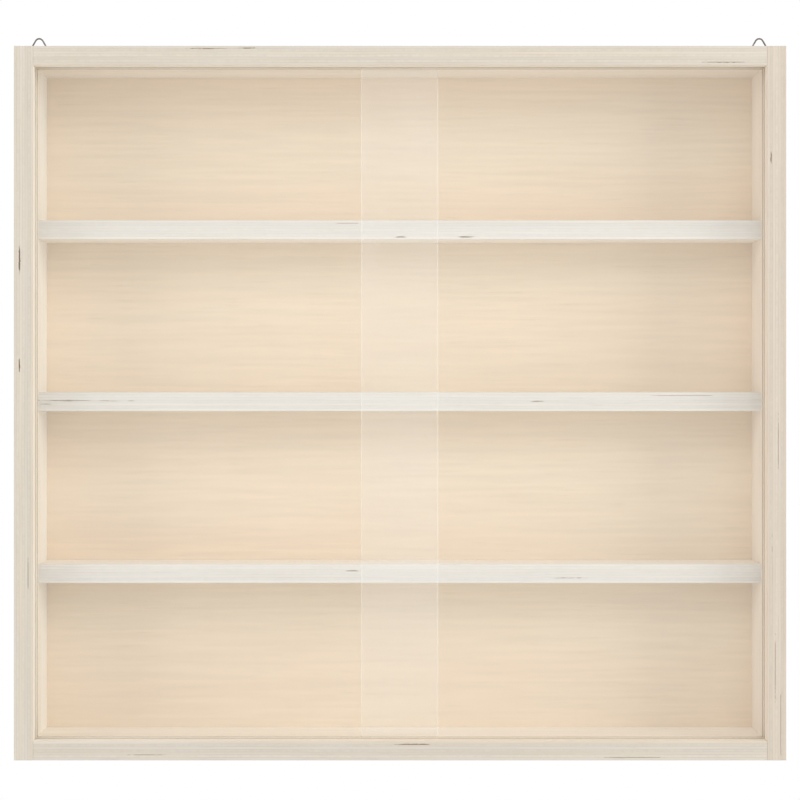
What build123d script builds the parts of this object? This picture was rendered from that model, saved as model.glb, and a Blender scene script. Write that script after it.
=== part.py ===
from build123d import *
import math
import os

# A shallow wall showcase of plywood, with three shelves, a thin back panel, two
# frameless acrylic doors that slide in grooves, and two hanging rings.
# Millimetres. +X is the viewer's right, the front faces -Y and +Z is up.
# The origin is on the wall plane, at the middle of the top board's rear edge.

os.makedirs("parts", exist_ok=True)

# ---- Case: the outside, and the plywood that the four boards are cut from ----
case_width = 600
case_height = 555
case_depth = 85
board_thickness = 15

# ---- Shelves: the top compartment takes the height that the others leave ----
shelf_count = 3
shelf_thickness = 15
compartment_height = 120.5
shelf_setback = 27  # from the case's front edges to the shelf's front face

# ---- Back panel: held in a groove all round, a little way in from the wall ----
panel_thickness = 3
panel_recess = 7  # free space between the wall plane and the panel
panel_groove_depth = 5
panel_edge_gap = 0.5  # between the panel's edge and the floor of its groove
panel_face_gap = 0.1  # between the panel's face and the side of its groove

# ---- Door grooves: two all round, the front one behind a lip ----
front_lip = 12
door_groove_width = 4
groove_land = 4  # the wood left between the two grooves
lower_groove_depth = 4
side_groove_depth = 4
upper_groove_depth = 8  # deep enough to lift a door out of the lower groove

# ---- Doors: clear sheet, each a little over half the opening wide ----
door_thickness = 3
door_overlap = 60
door_stop_gap = 0.5  # between a shut door's edge and the floor of the side groove
door_top_engagement = 3.5  # how far a door reaches up into the upper groove
door_edge_chamfer = 0.3

# ---- Dowels: birch pegs, glued ----
dowel_diameter = 6
dowel_length = 30
dowel_seat_in_side = 10  # depth of the dowel's hole in a side board
dowel_end_gap = 1  # glue space past the dowel's inner end
dowel_chamfer = 0.6
shelf_dowel_inset = 12  # from the shelf's front and rear faces

# ---- Corner screws: countersunk, through the side boards into the board ends ----
corner_screw_length = 35
corner_screw_diameter = 3.5
corner_screw_head_diameter = 7
corner_screw_spacing = 17  # the pair is midway between the door and panel grooves

# ---- Brads: through the back panel into the shelves' rear edges ----
brad_length = 18
brad_diameter = 1.2
brad_head_diameter = 2.4
brad_head_height = 0.6
brad_spacing = 240
brads_per_shelf = 3

# ---- Hanging rings: bent wire, a triangle with rounded corners ----
ring_wire_diameter = 1.3
ring_width = 22  # of the wire's centre line, as if its corners were sharp
ring_height = 19.2  # of the same triangle
ring_apex_radius = 3.3
ring_foot_radius = 2.4

# ---- Hanger straps: flat steel folded double round the foot of each ring ----
strap_width = 8
strap_sheet = 1
strap_length = 34  # from the ring's foot down to the strap's end
strap_end_radius = 3
loop_clearance = 0.1  # round the wire, so that the ring turns
loop_rise = 2.2  # the ring's foot above the case's top
pocket_side_gap = 0.5  # round the strap, in its pocket in the board's rear edge

# ---- Strap screws: pan heads ----
strap_screw_length = 14
strap_screw_diameter = 2.8
strap_screw_head_diameter = 5.2
strap_screw_head_height = 1.3
strap_screw_drops = (11, 26)  # below the ring's foot

# ---- Screw details that both kinds share ----
countersink_angle = 90
point_angle = 60
driver_slot_width = 0.8
driver_slot_share = 0.62  # of the head's width
driver_slot_depth = 0.8

# ---- Places worked out from the sizes above ----
inner_width = case_width - 2 * board_thickness
inner_height = case_height - 2 * board_thickness
case_top = board_thickness / 2
ceiling = case_top - board_thickness
floor = ceiling - inner_height
case_middle = case_top - case_height / 2
side_outer_x = case_width / 2
side_inner_x = inner_width / 2
side_middle_x = side_outer_x - board_thickness / 2

panel_front_y = -(panel_recess + panel_thickness)
panel_middle_y = panel_front_y + panel_thickness / 2
panel_groove_width = panel_thickness + 2 * panel_face_gap
shelf_front_y = shelf_setback - case_depth
shelf_depth = panel_front_y - shelf_front_y
shelf_middles = []
for level in range(shelf_count):
    level_floor = floor + level * (compartment_height + shelf_thickness)
    shelf_middles.append(level_floor + compartment_height + shelf_thickness / 2)

front_groove_y = front_lip + door_groove_width / 2 - case_depth
rear_groove_y = front_groove_y + door_groove_width + groove_land
door_grooves = (front_groove_y, rear_groove_y)
groove_bottom = floor - lower_groove_depth
groove_top = ceiling + upper_groove_depth
door_bottom = groove_bottom
door_top = ceiling + door_top_engagement
door_height = door_top - door_bottom
door_reach = side_inner_x + side_groove_depth - door_stop_gap
door_width = door_reach + door_overlap / 2

corner_dowel_y = front_lip / 2 - case_depth
shelf_dowel_ys = (shelf_front_y + shelf_dowel_inset, panel_front_y - shelf_dowel_inset)
dowel_hole_reach = dowel_length - dowel_seat_in_side + dowel_end_gap  # in a shelf or board end
dowel_middle_x = side_inner_x + dowel_seat_in_side - dowel_length / 2
plain_front_y = rear_groove_y + door_groove_width / 2
plain_rear_y = panel_middle_y - panel_groove_width / 2
corner_screw_middle_y = (plain_front_y + plain_rear_y) / 2
corner_screw_ys = [corner_screw_middle_y + side * corner_screw_spacing / 2 for side in (-1, 1)]
corner_board_zs = (case_top - board_thickness / 2, floor - board_thickness / 2)
screw_reach = corner_screw_length - board_thickness  # into a board end

loop_inner_radius = ring_wire_diameter / 2 + loop_clearance
loop_outer_radius = loop_inner_radius + strap_sheet
hinge_y = -loop_outer_radius  # the loop just reaches the wall plane
hinge_z = case_top + loop_rise
pocket_depth = 2 * loop_outer_radius
pocket_width = strap_width + 2 * pocket_side_gap
pocket_end_z = hinge_z - strap_length - pocket_side_gap
strap_rear_y = 2 * strap_sheet - pocket_depth
strap_screw_zs = [hinge_z - drop for drop in strap_screw_drops]


def round_ended_groove(middle, low_end, high_end, width):
    """A vertical slot on a YZ plane, whose round ends run past both stated ends."""
    with Locations((middle, (low_end + high_end) / 2)):
        SlotCenterToCenter(high_end - low_end, width, rotation=90)


def screw(length, diameter, head_diameter, countersunk, head_height=0.0):
    """A screw along Z, point down, with crossed driver slots. A countersunk one's flat
    head is at z = 0. A pan-headed one bears at z = 0, and its head stands above that."""
    cone = (head_diameter - diameter) / 2 / math.tan(math.radians(countersink_angle / 2))
    tip = diameter / 2 / math.tan(math.radians(point_angle / 2))
    with BuildPart() as made:
        with BuildSketch(Plane.XZ):
            with BuildLine():
                if countersunk:
                    head = [(0, 0), (head_diameter / 2, 0), (diameter / 2, -cone)]
                else:
                    crown = head_height / 2
                    head = [
                        (0, head_height),
                        (head_diameter / 2 - crown, head_height),
                        (head_diameter / 2, crown),
                        (head_diameter / 2, 0),
                        (diameter / 2, 0),
                    ]
                Polyline(*head, (diameter / 2, tip - length), (0, -length), close=True)
            make_face()
        revolve(axis=Axis.Z)
        slot_length = head_diameter * driver_slot_share
        with Locations((0, 0, head_height - driver_slot_depth / 2)):
            Box(slot_length, driver_slot_width, driver_slot_depth, mode=Mode.SUBTRACT)
            Box(driver_slot_width, slot_length, driver_slot_depth, mode=Mode.SUBTRACT)
    return made.part


def finish(part, name):
    """Labels a finished piece and writes it out."""
    part.label = name
    export_step(part, f"parts/{name}.step")


# ==== Side boards: full height, with stopped grooves, holes and the strap's pocket ====
with BuildPart() as side_panel_left:
    with BuildSketch(Plane.YZ.offset(-side_outer_x)):
        with Locations((-case_depth / 2, case_middle)):
            Rectangle(case_depth, case_height)
    extrude(amount=board_thickness)

    inner_face = Plane.YZ.offset(-side_inner_x)
    with BuildSketch(inner_face):
        for groove_y in door_grooves:
            round_ended_groove(groove_y, groove_bottom, groove_top, door_groove_width)
    extrude(amount=-side_groove_depth, mode=Mode.SUBTRACT)
    with BuildSketch(inner_face):
        round_ended_groove(
            panel_middle_y,
            floor - panel_groove_depth,
            ceiling + panel_groove_depth,
            panel_groove_width,
        )
    extrude(amount=-panel_groove_depth, mode=Mode.SUBTRACT)

    with BuildSketch(inner_face):
        with Locations(*[(corner_dowel_y, z) for z in corner_board_zs]):
            Circle(dowel_diameter / 2)
        with Locations(*[(y, z) for y in shelf_dowel_ys for z in shelf_middles]):
            Circle(dowel_diameter / 2)
    extrude(amount=-dowel_seat_in_side, mode=Mode.SUBTRACT)

    outer_face = Plane(origin=(-side_outer_x, 0, 0), x_dir=(0, -1, 0), z_dir=(-1, 0, 0))
    with Locations(outer_face):
        with Locations(*[(-y, z) for y in corner_screw_ys for z in corner_board_zs]):
            CounterSinkHole(
                radius=corner_screw_diameter / 2,
                counter_sink_radius=corner_screw_head_diameter / 2,
                depth=board_thickness,
                counter_sink_angle=countersink_angle,
            )

    pocket_height = case_top - pocket_end_z
    with BuildSketch(Plane.XZ):
        with Locations((-side_middle_x, case_top - pocket_height / 2)):
            Rectangle(pocket_width, pocket_height)
        pocket_corners = vertices().group_by(Axis.Y)[0]
        fillet(pocket_corners, strap_end_radius)
    extrude(amount=pocket_depth, mode=Mode.SUBTRACT)
    with BuildSketch(Plane.XZ):
        with Locations(*[(-side_middle_x, z) for z in strap_screw_zs]):
            Circle(strap_screw_diameter / 2)
    extrude(amount=strap_screw_length - strap_rear_y, mode=Mode.SUBTRACT)
finish(side_panel_left.part, "side_panel_left")

with BuildPart() as side_panel_right:
    mirror(side_panel_left.part, about=Plane.YZ)
finish(side_panel_right.part, "side_panel_right")


# ==== Top and bottom boards: grooves along their inner faces, holes in their ends ====
def end_holes(dowel_hole_depth, screw_hole_depth, board_z):
    """Dowel and screw holes in both ends of a top or bottom board."""
    for side in (-1, 1):
        end = Plane.YZ.offset(side * side_inner_x)
        with BuildSketch(end) as dowel_hole:
            with Locations((corner_dowel_y, board_z)):
                Circle(dowel_diameter / 2)
        extrude(dowel_hole.sketch, amount=-side * dowel_hole_depth, mode=Mode.SUBTRACT)
        with BuildSketch(end) as screw_holes:
            with Locations(*[(y, board_z) for y in corner_screw_ys]):
                Circle(corner_screw_diameter / 2)
        extrude(screw_holes.sketch, amount=-side * screw_hole_depth, mode=Mode.SUBTRACT)


with BuildPart() as top_panel:
    with BuildSketch(Plane.XY.offset(ceiling)):
        with Locations((0, -case_depth / 2)):
            Rectangle(inner_width, case_depth)
    extrude(amount=board_thickness)
    with BuildSketch(Plane.XY.offset(ceiling)):
        with Locations(*[(0, y) for y in door_grooves]):
            Rectangle(inner_width, door_groove_width)
    extrude(amount=upper_groove_depth, mode=Mode.SUBTRACT)
    with BuildSketch(Plane.XY.offset(ceiling)):
        with Locations((0, panel_middle_y)):
            Rectangle(inner_width, panel_groove_width)
    extrude(amount=panel_groove_depth, mode=Mode.SUBTRACT)
    end_holes(dowel_hole_reach, screw_reach, corner_board_zs[0])
finish(top_panel.part, "top_panel")

with BuildPart() as bottom_panel:
    with BuildSketch(Plane.XY.offset(floor)):
        with Locations((0, -case_depth / 2)):
            Rectangle(inner_width, case_depth)
    extrude(amount=-board_thickness)
    with BuildSketch(Plane.XY.offset(floor)):
        with Locations(*[(0, y) for y in door_grooves]):
            Rectangle(inner_width, door_groove_width)
    extrude(amount=-lower_groove_depth, mode=Mode.SUBTRACT)
    with BuildSketch(Plane.XY.offset(floor)):
        with Locations((0, panel_middle_y)):
            Rectangle(inner_width, panel_groove_width)
    extrude(amount=-panel_groove_depth, mode=Mode.SUBTRACT)
    end_holes(dowel_hole_reach, screw_reach, corner_board_zs[1])
finish(bottom_panel.part, "bottom_panel")

# ==== Shelves: plain boards between the sides, against the back panel ====
brad_xs = [(number - (brads_per_shelf - 1) / 2) * brad_spacing for number in range(brads_per_shelf)]
shelf_names = ("shelf_lower", "shelf_middle", "shelf_upper")
for shelf_name, shelf_z in zip(shelf_names, shelf_middles):
    with BuildPart() as shelf:
        with BuildSketch(Plane.XY.offset(shelf_z - shelf_thickness / 2)):
            with Locations((0, shelf_front_y + shelf_depth / 2)):
                Rectangle(inner_width, shelf_depth)
        extrude(amount=shelf_thickness)
        for side in (-1, 1):
            with BuildSketch(Plane.YZ.offset(side * side_inner_x)):
                with Locations(*[(y, shelf_z) for y in shelf_dowel_ys]):
                    Circle(dowel_diameter / 2)
            extrude(amount=-side * dowel_hole_reach, mode=Mode.SUBTRACT)
        with BuildSketch(Plane.XZ.offset(-panel_front_y)):
            with Locations(*[(x, shelf_z) for x in brad_xs]):
                Circle(brad_diameter / 2)
        extrude(amount=brad_length - panel_thickness, mode=Mode.SUBTRACT)
    finish(shelf.part, shelf_name)

# ==== Back panel: one sheet, with the brads' holes ====
panel_width = inner_width + 2 * (panel_groove_depth - panel_edge_gap)
panel_height = inner_height + 2 * (panel_groove_depth - panel_edge_gap)
with BuildPart() as back_panel:
    with BuildSketch(Plane.XZ.offset(panel_recess)):
        with Locations((0, case_middle)):
            Rectangle(panel_width, panel_height)
        with Locations(*[(x, z) for x in brad_xs for z in shelf_middles]):
            Circle(brad_diameter / 2, mode=Mode.SUBTRACT)
    extrude(amount=panel_thickness)
finish(back_panel.part, "back_panel")

# ==== Doors: the right one runs in the front groove, the left one in the rear ====
door_places = {
    "door_right_front": (door_reach - door_width / 2, front_groove_y),
    "door_left_rear": (door_width / 2 - door_reach, rear_groove_y),
}
for door_name, (door_x, groove_y) in door_places.items():
    with BuildPart() as door:
        with BuildSketch(Plane.XZ.offset(-groove_y - door_thickness / 2)):
            with Locations((door_x, (door_bottom + door_top) / 2)):
                Rectangle(door_width, door_height)
        extrude(amount=door_thickness)
        rims = edges().filter_by(Axis.Y, reverse=True)
        chamfer(rims, door_edge_chamfer)
    finish(door.part, door_name)

# ==== Dowels ====
with BuildPart() as dowel:
    Cylinder(dowel_diameter / 2, dowel_length, rotation=(0, 90, 0))
    chamfer(edges().filter_by(GeomType.CIRCLE), dowel_chamfer)

with BuildPart() as corner_dowels:
    with Locations(
        *[
            (side * dowel_middle_x, corner_dowel_y, z)
            for side in (-1, 1)
            for z in corner_board_zs
        ]
    ):
        add(dowel.part)
finish(corner_dowels.part, "corner_dowels")

with BuildPart() as shelf_dowels:
    with Locations(
        *[
            (side * dowel_middle_x, y, z)
            for side in (-1, 1)
            for y in shelf_dowel_ys
            for z in shelf_middles
        ]
    ):
        add(dowel.part)
finish(shelf_dowels.part, "shelf_dowels")

# ==== Corner screws: heads flush with the outsides of the side boards ====
corner_screw = screw(corner_screw_length, corner_screw_diameter, corner_screw_head_diameter, True)
with BuildPart() as corner_screws:
    for side in (-1, 1):
        for screw_y in corner_screw_ys:
            for board_z in corner_board_zs:
                head_place = (side * side_outer_x, screw_y, board_z)
                with Locations(Plane(origin=head_place, x_dir=(0, 1, 0), z_dir=(side, 0, 0))):
                    add(corner_screw)
finish(corner_screws.part, "corner_screws")

# ==== Brads: heads on the rear face of the back panel ====
with BuildPart() as brad:
    Cylinder(brad_diameter / 2, brad_length, align=(Align.CENTER, Align.CENTER, Align.MAX))
    Cylinder(brad_head_diameter / 2, brad_head_height, align=(Align.CENTER, Align.CENTER, Align.MIN))

with BuildPart() as back_panel_brads:
    for x in brad_xs:
        for z in shelf_middles:
            with Locations(Plane(origin=(x, -panel_recess, z), x_dir=(1, 0, 0), z_dir=(0, 1, 0))):
                add(brad.part)
finish(back_panel_brads.part, "back_panel_brads")

# ==== Hangers: strap, its two screws and the ring, one set behind each side board ====
strap_screw = screw(
    strap_screw_length,
    strap_screw_diameter,
    strap_screw_head_diameter,
    False,
    strap_screw_head_height,
)
for side, side_name in ((-1, "left"), (1, "right")):
    strap_x = side * side_middle_x
    with BuildPart() as strap:
        with BuildSketch(Plane.YZ.offset(strap_x - strap_width / 2)):
            with Locations((hinge_y, hinge_z)):
                Circle(loop_outer_radius)
            with Locations((-pocket_depth, hinge_z)):
                Rectangle(strap_sheet, strap_length, align=(Align.MIN, Align.MAX))
            with Locations((strap_rear_y - strap_sheet, hinge_z - loop_inner_radius)):
                Rectangle(strap_sheet, strap_length - loop_inner_radius, align=(Align.MIN, Align.MAX))
            with Locations((hinge_y, hinge_z)):
                Circle(loop_inner_radius, mode=Mode.SUBTRACT)
        extrude(amount=strap_width)
        strap_corners = edges().filter_by(Axis.Y).group_by(Axis.Z)[0]
        fillet(strap_corners, strap_end_radius)
        with BuildSketch(Plane.XZ):
            with Locations(*[(strap_x, z) for z in strap_screw_zs]):
                Circle(strap_screw_diameter / 2)
        extrude(amount=pocket_depth, mode=Mode.SUBTRACT)
    finish(strap.part, f"hanger_strap_{side_name}")

    with BuildPart() as strap_screws:
        for z in strap_screw_zs:
            bearing = (strap_x, strap_rear_y, z)
            with Locations(Plane(origin=bearing, x_dir=(1, 0, 0), z_dir=(0, 1, 0))):
                add(strap_screw)
    finish(strap_screws.part, f"hanger_screws_{side_name}")

    with BuildPart() as ring:
        with BuildLine(Plane.XZ.offset(-hinge_y)) as ring_path:
            FilletPolyline(
                (strap_x + ring_width / 2, hinge_z),
                (strap_x, hinge_z + ring_height),
                (strap_x - ring_width / 2, hinge_z),
                radius=(ring_foot_radius, ring_apex_radius, ring_foot_radius),
                close=True,
            )
        wire_line = ring_path.wire()
        with BuildSketch(Plane(origin=wire_line @ 0, z_dir=wire_line % 0)):
            Circle(ring_wire_diameter / 2)
        sweep(path=wire_line)
    finish(ring.part, f"hanger_ring_{side_name}")
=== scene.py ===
"""Looks of the wall mounted showcase: bare plywood boards, clear doors and wire hangers.

Everything is in metres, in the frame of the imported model: +X to the viewer's right,
the front faces -Y and +Z is up. The origin is on the wall plane, at the middle of the
top board's rear edge. Sizes given in millimetres are multiplied by MM.
"""

import logging
import math
from dataclasses import dataclass, field
from enum import Enum
from typing import Any, Sequence

import bpy
import numpy as np
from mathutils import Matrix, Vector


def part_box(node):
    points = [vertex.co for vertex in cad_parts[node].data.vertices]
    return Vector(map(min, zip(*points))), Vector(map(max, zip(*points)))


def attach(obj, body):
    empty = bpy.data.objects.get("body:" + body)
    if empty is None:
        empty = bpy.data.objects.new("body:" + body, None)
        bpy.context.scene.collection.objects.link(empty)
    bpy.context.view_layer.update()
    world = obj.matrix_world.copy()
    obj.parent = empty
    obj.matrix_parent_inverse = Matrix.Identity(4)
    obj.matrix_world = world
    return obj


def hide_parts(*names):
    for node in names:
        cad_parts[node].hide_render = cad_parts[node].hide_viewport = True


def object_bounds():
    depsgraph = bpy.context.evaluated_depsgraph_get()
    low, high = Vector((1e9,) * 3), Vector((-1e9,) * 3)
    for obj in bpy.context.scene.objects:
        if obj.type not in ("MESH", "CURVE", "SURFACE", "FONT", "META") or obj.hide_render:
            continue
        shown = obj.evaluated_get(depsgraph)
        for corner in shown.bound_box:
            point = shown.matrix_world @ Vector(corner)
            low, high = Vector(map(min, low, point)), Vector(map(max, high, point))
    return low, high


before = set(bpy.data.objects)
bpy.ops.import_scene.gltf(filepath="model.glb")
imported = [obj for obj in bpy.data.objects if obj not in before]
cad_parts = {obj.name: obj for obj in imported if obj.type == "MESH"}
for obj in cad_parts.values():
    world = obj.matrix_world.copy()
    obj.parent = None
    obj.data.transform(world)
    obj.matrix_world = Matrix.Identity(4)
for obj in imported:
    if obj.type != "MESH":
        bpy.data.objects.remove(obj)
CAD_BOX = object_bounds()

MM = 0.001
UNBOUNDED = (-math.inf, math.inf)
log = logging.getLogger("showcase")

Colour = tuple[float, float, float]
Socket = bpy.types.NodeSocket


class Body(Enum):
    """The rigid bodies that pieces ride on."""

    CASE = "case"
    RIGHT_DOOR = "right_door"
    LEFT_DOOR = "left_door"
    RIGHT_RING = "right_ring"
    LEFT_RING = "left_ring"


class Slot(Enum):
    """Names of the record's material slots."""

    BOARD = "ply_board"
    DOOR = "clear_door"
    HANGER = "hanger_steel"
    SCREW = "screw_steel"


class Lie(Enum):
    """How a sheet lies: the turn that brings its grain to X and its thickness to Z."""

    FLAT = (0.0, 0.0, 0.0)
    ON_EDGE = (0.0, math.pi / 2, 0.0)
    FACING = (math.pi / 2, 0.0, 0.0)


class Side(Enum):
    """The four sides of a board's section, in anticlockwise order."""

    LOW_FACE = 0
    REAR_EDGE = 1
    HIGH_FACE = 2
    FRONT_EDGE = 3


def node_box(node: str) -> np.ndarray:
    """The lowest and highest corner of a CAD node, as the two rows of an array."""
    return np.array(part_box(node))


# ---------------------------------------------------------------------------
# Smooth steps and seeded noise, on whole arrays
# ---------------------------------------------------------------------------
LATTICE = 256


def ease(share: np.ndarray) -> np.ndarray:
    """The smooth step 3s^2 - 2s^3 of a share that is first kept between 0 and 1."""
    kept = np.clip(share, 0.0, 1.0)
    return kept * kept * (3.0 - 2.0 * kept)


def mottle(across: np.ndarray, along: np.ndarray, seed: int) -> np.ndarray:
    """Smooth value noise: seeded random heights on a unit lattice, eased between.

    Args:
        across: first coordinate of each place, in lattice units.
        along: second coordinate, of a shape that goes with the first.
        seed: picks the lattice's heights.

    Returns:
        Heights between -1 and 1.
    """
    lattice = np.random.default_rng(seed).uniform(-1.0, 1.0, (LATTICE, LATTICE))
    across, along = np.broadcast_arrays(across, along)
    low_a = np.floor(across).astype(int)
    low_b = np.floor(along).astype(int)
    share_a = ease(across - low_a)
    share_b = ease(along - low_b)
    near = lattice[low_a % LATTICE, low_b % LATTICE]
    beside = lattice[(low_a + 1) % LATTICE, low_b % LATTICE]
    above = lattice[low_a % LATTICE, (low_b + 1) % LATTICE]
    opposite = lattice[(low_a + 1) % LATTICE, (low_b + 1) % LATTICE]
    lower = near + (beside - near) * share_a
    upper = above + (opposite - above) * share_a
    return lower + (upper - lower) * share_b


# ---------------------------------------------------------------------------
# Grids to meshes
# ---------------------------------------------------------------------------
@dataclass
class Grid:
    """One closed surface: rows of points along a path, each row a closed outline.

    Attributes:
        points: the places, of shape (rows, columns, 3).
        ring: True if the last row joins the first, else both ends get a cap.
        paint: named numbers at the points, of shape (rows, columns).
        trim: material index of each quad, of a shape that goes with (rows, columns).
        cap_trim: material index of the caps.
    """

    points: np.ndarray
    ring: bool = False
    paint: dict[str, np.ndarray] = field(default_factory=dict)
    trim: np.ndarray = field(default_factory=lambda: np.zeros((1, 1), int))
    cap_trim: int = 0

    def faces(self) -> tuple[list[np.ndarray], np.ndarray]:
        """Works out the faces, facing outwards: the quads' turning sense is reversed
        where the walls would enclose a negative volume about the surface's middle.

        Returns:
            The quads and caps as arrays of point numbers, and the quads' material indices.
        """
        rows, columns = self.points.shape[:2]
        last = rows if self.ring else rows - 1
        row = np.arange(last)[:, None]
        column = np.arange(columns)[None, :]
        next_row = (row + 1) % rows
        next_column = (column + 1) % columns
        corners = (
            row * columns + column,
            next_row * columns + column,
            next_row * columns + next_column,
            row * columns + next_column,
        )
        quads = np.stack(corners, axis=-1).reshape(-1, 4)
        trim = np.broadcast_to(self.trim, (rows, columns))[:last].reshape(-1)
        first = np.arange(columns)
        caps = [] if self.ring else [first, first[::-1] + (rows - 1) * columns]
        flat = self.points.reshape(-1, 3)
        a, b, c, d = (flat[quads[:, k]] - flat.mean(axis=0) for k in range(4))
        volume = np.sum(a * np.cross(b, c)) + np.sum(a * np.cross(c, d))
        if volume < 0:
            quads = quads[:, ::-1]
            caps = [cap[::-1] for cap in caps]
        return [quads] + caps, trim


def build_mesh(name: str, grids: Sequence[Grid]) -> bpy.types.Object:
    """Puts closed grids into one mesh object at the origin, with foreach_set. Quads are
    shaded smooth and caps flat.

    Args:
        name: the object's name.
        grids: the surfaces, which become separate shells of one mesh.

    Returns:
        The new object, linked into the scene.
    """
    places = np.concatenate([grid.points.reshape(-1, 3) for grid in grids])
    loops: list[np.ndarray] = []
    sizes: list[np.ndarray] = []
    trims: list[np.ndarray] = []
    start = 0
    for grid in grids:
        (quads, *caps), trim = grid.faces()
        loops.append(quads.reshape(-1) + start)
        sizes.append(np.full(len(quads), 4))
        trims.append(trim)
        for cap in caps:
            loops.append(cap + start)
            sizes.append(np.array([len(cap)]))
            trims.append(np.array([grid.cap_trim]))
        start += grid.points.shape[0] * grid.points.shape[1]
    counts = np.concatenate(sizes)
    mesh = bpy.data.meshes.new(name)
    mesh.vertices.add(len(places))
    mesh.vertices.foreach_set("co", places.astype(np.float32).reshape(-1))
    mesh.loops.add(int(counts.sum()))
    mesh.loops.foreach_set("vertex_index", np.concatenate(loops).astype(np.int32))
    mesh.polygons.add(len(counts))
    starts = np.concatenate([[0], np.cumsum(counts)[:-1]])
    mesh.polygons.foreach_set("loop_start", starts.astype(np.int32))
    mesh.polygons.foreach_set("material_index", np.concatenate(trims).astype(np.int32))
    mesh.polygons.foreach_set("use_smooth", counts == 4)
    for key in sorted({key for grid in grids for key in grid.paint}):
        layer = mesh.attributes.new(key, "FLOAT", "POINT")
        painted = [grid.paint.get(key, np.zeros(grid.points.shape[:2])) for grid in grids]
        values = np.concatenate([numbers.reshape(-1) for numbers in painted])
        layer.data.foreach_set("value", values.astype(np.float32))
    mesh.update(calc_edges=True)
    mesh.validate()
    piece = bpy.data.objects.new(name, mesh)
    bpy.context.scene.collection.objects.link(piece)
    return piece


def settle(
    piece: bpy.types.Object,
    body: Body,
    finishes: Sequence[bpy.types.Material],
    replaced: str,
) -> None:
    """Gives a finished piece its body and materials, and reports it.

    Args:
        piece: the finished object.
        body: the body it rides on.
        finishes: its materials, in the order of their indices.
        replaced: the CAD node that it stands for.
    """
    for finish in finishes:
        piece.data.materials.append(finish)
    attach(piece, body.value)
    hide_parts(replaced)
    log.info("%s: %d faces, rides on %s", piece.name, len(piece.data.polygons), body.value)


def dress(node: str, finish: bpy.types.Material) -> None:
    """Gives a carried-over CAD node its finish, by its material slots, and reports it."""
    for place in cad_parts[node].material_slots:
        place.material = finish
    log.info("%s: CAD piece, finished in %s", node, finish.name)


# ---------------------------------------------------------------------------
# Outlines
# ---------------------------------------------------------------------------
@dataclass(frozen=True)
class Corner:
    """One corner of an outline.

    Attributes:
        x: first coordinate, in metres.
        y: second coordinate.
        radius: how round the corner is.
        spacing: about how far apart the points on the straight after it are.
        group: number of the recess that the corner belongs to, or -1.
    """

    x: float
    y: float
    radius: float
    spacing: float
    group: int = -1


@dataclass(frozen=True)
class Traced:
    """An outline's points, their outward unit normals and their recess numbers."""

    points: np.ndarray
    normals: np.ndarray
    groups: np.ndarray


@dataclass(frozen=True)
class Outline:
    """A closed outline with rounded corners, listed anticlockwise.

    Attributes:
        corners: the sharp corners with their radii.
        arc_steps: how many stretches each rounded corner is cut into.
        brace: distance from a rounded corner to the first point on the straight, which
            keeps the corner's shading off the flat.
    """

    corners: tuple[Corner, ...]
    arc_steps: int = 3
    brace: float = 0.3 * MM

    def trace(self) -> Traced:
        """Walks round the outline. A corner's arc touches both of its sides at the radius
        times the tangent of half the turn from the sharp corner, and its normal turns
        evenly from one side's to the other's. A straight has a point just past each arc
        and even points between.

        Returns:
            The traced outline.
        """
        sharp = np.array([(corner.x, corner.y) for corner in self.corners])
        ahead = np.roll(sharp, -1, axis=0) - sharp
        ahead /= np.linalg.norm(ahead, axis=1)[:, None]
        behind = np.roll(ahead, 1, axis=0)
        cross = behind[:, 0] * ahead[:, 1] - behind[:, 1] * ahead[:, 0]
        turn = np.arctan2(cross, (behind * ahead).sum(axis=1))
        radius = np.array([corner.radius for corner in self.corners])
        back_off = radius * np.tan(np.abs(turn) / 2)
        points, normals, groups = [], [], []
        for k, corner in enumerate(self.corners):
            after = (k + 1) % len(self.corners)
            swing = turn[k] * np.linspace(0.0, 1.0, self.arc_steps + 1)
            facing = math.atan2(-behind[k, 0], behind[k, 1])
            normal = np.stack([np.cos(facing + swing), np.sin(facing + swing)], axis=1)
            reach = radius[k] * math.copysign(1.0, turn[k])
            middle = sharp[k] - behind[k] * back_off[k] - normal[0] * reach
            begin = sharp[k] + ahead[k] * back_off[k]
            end = sharp[after] - ahead[k] * back_off[after]
            run = float(np.linalg.norm(end - begin))
            brace = min(self.brace, run / 6) / run
            count = max(2, round(run / corner.spacing) + 1)
            shares = np.linspace(brace, 1 - brace, count)
            points += [middle + normal * reach, begin + (end - begin) * shares[:, None]]
            normals += [normal, np.repeat(normal[-1:], count, axis=0)]
            shared = corner.group if corner.group == self.corners[after].group else -1
            groups += [np.full(len(normal), corner.group), np.full(count, shared)]
        return Traced(np.concatenate(points), np.concatenate(normals), np.concatenate(groups))


CLOSE_ROWS = np.array([-0.6, -0.2, 0.2, 0.5, 0.9, 1.5]) * MM


def end_rows(arris: float) -> np.ndarray:
    """Distances from a path's end at which its rounded arris needs a row: the arris times
    one minus the sine of evenly spaced angles of the quarter circle."""
    return arris * (1 - np.sin(np.linspace(math.pi / 2, 0.0, 4)))


def drawn_in(depth: np.ndarray, arris: float) -> np.ndarray:
    """How far an outline is drawn in at a depth below a path's end, so that the end's
    arris is a quarter circle: the arris less the root of its square less (arris - depth)
    squared."""
    short = np.clip(arris - depth, 0.0, arris)
    return arris - np.sqrt(arris**2 - short**2)


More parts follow.
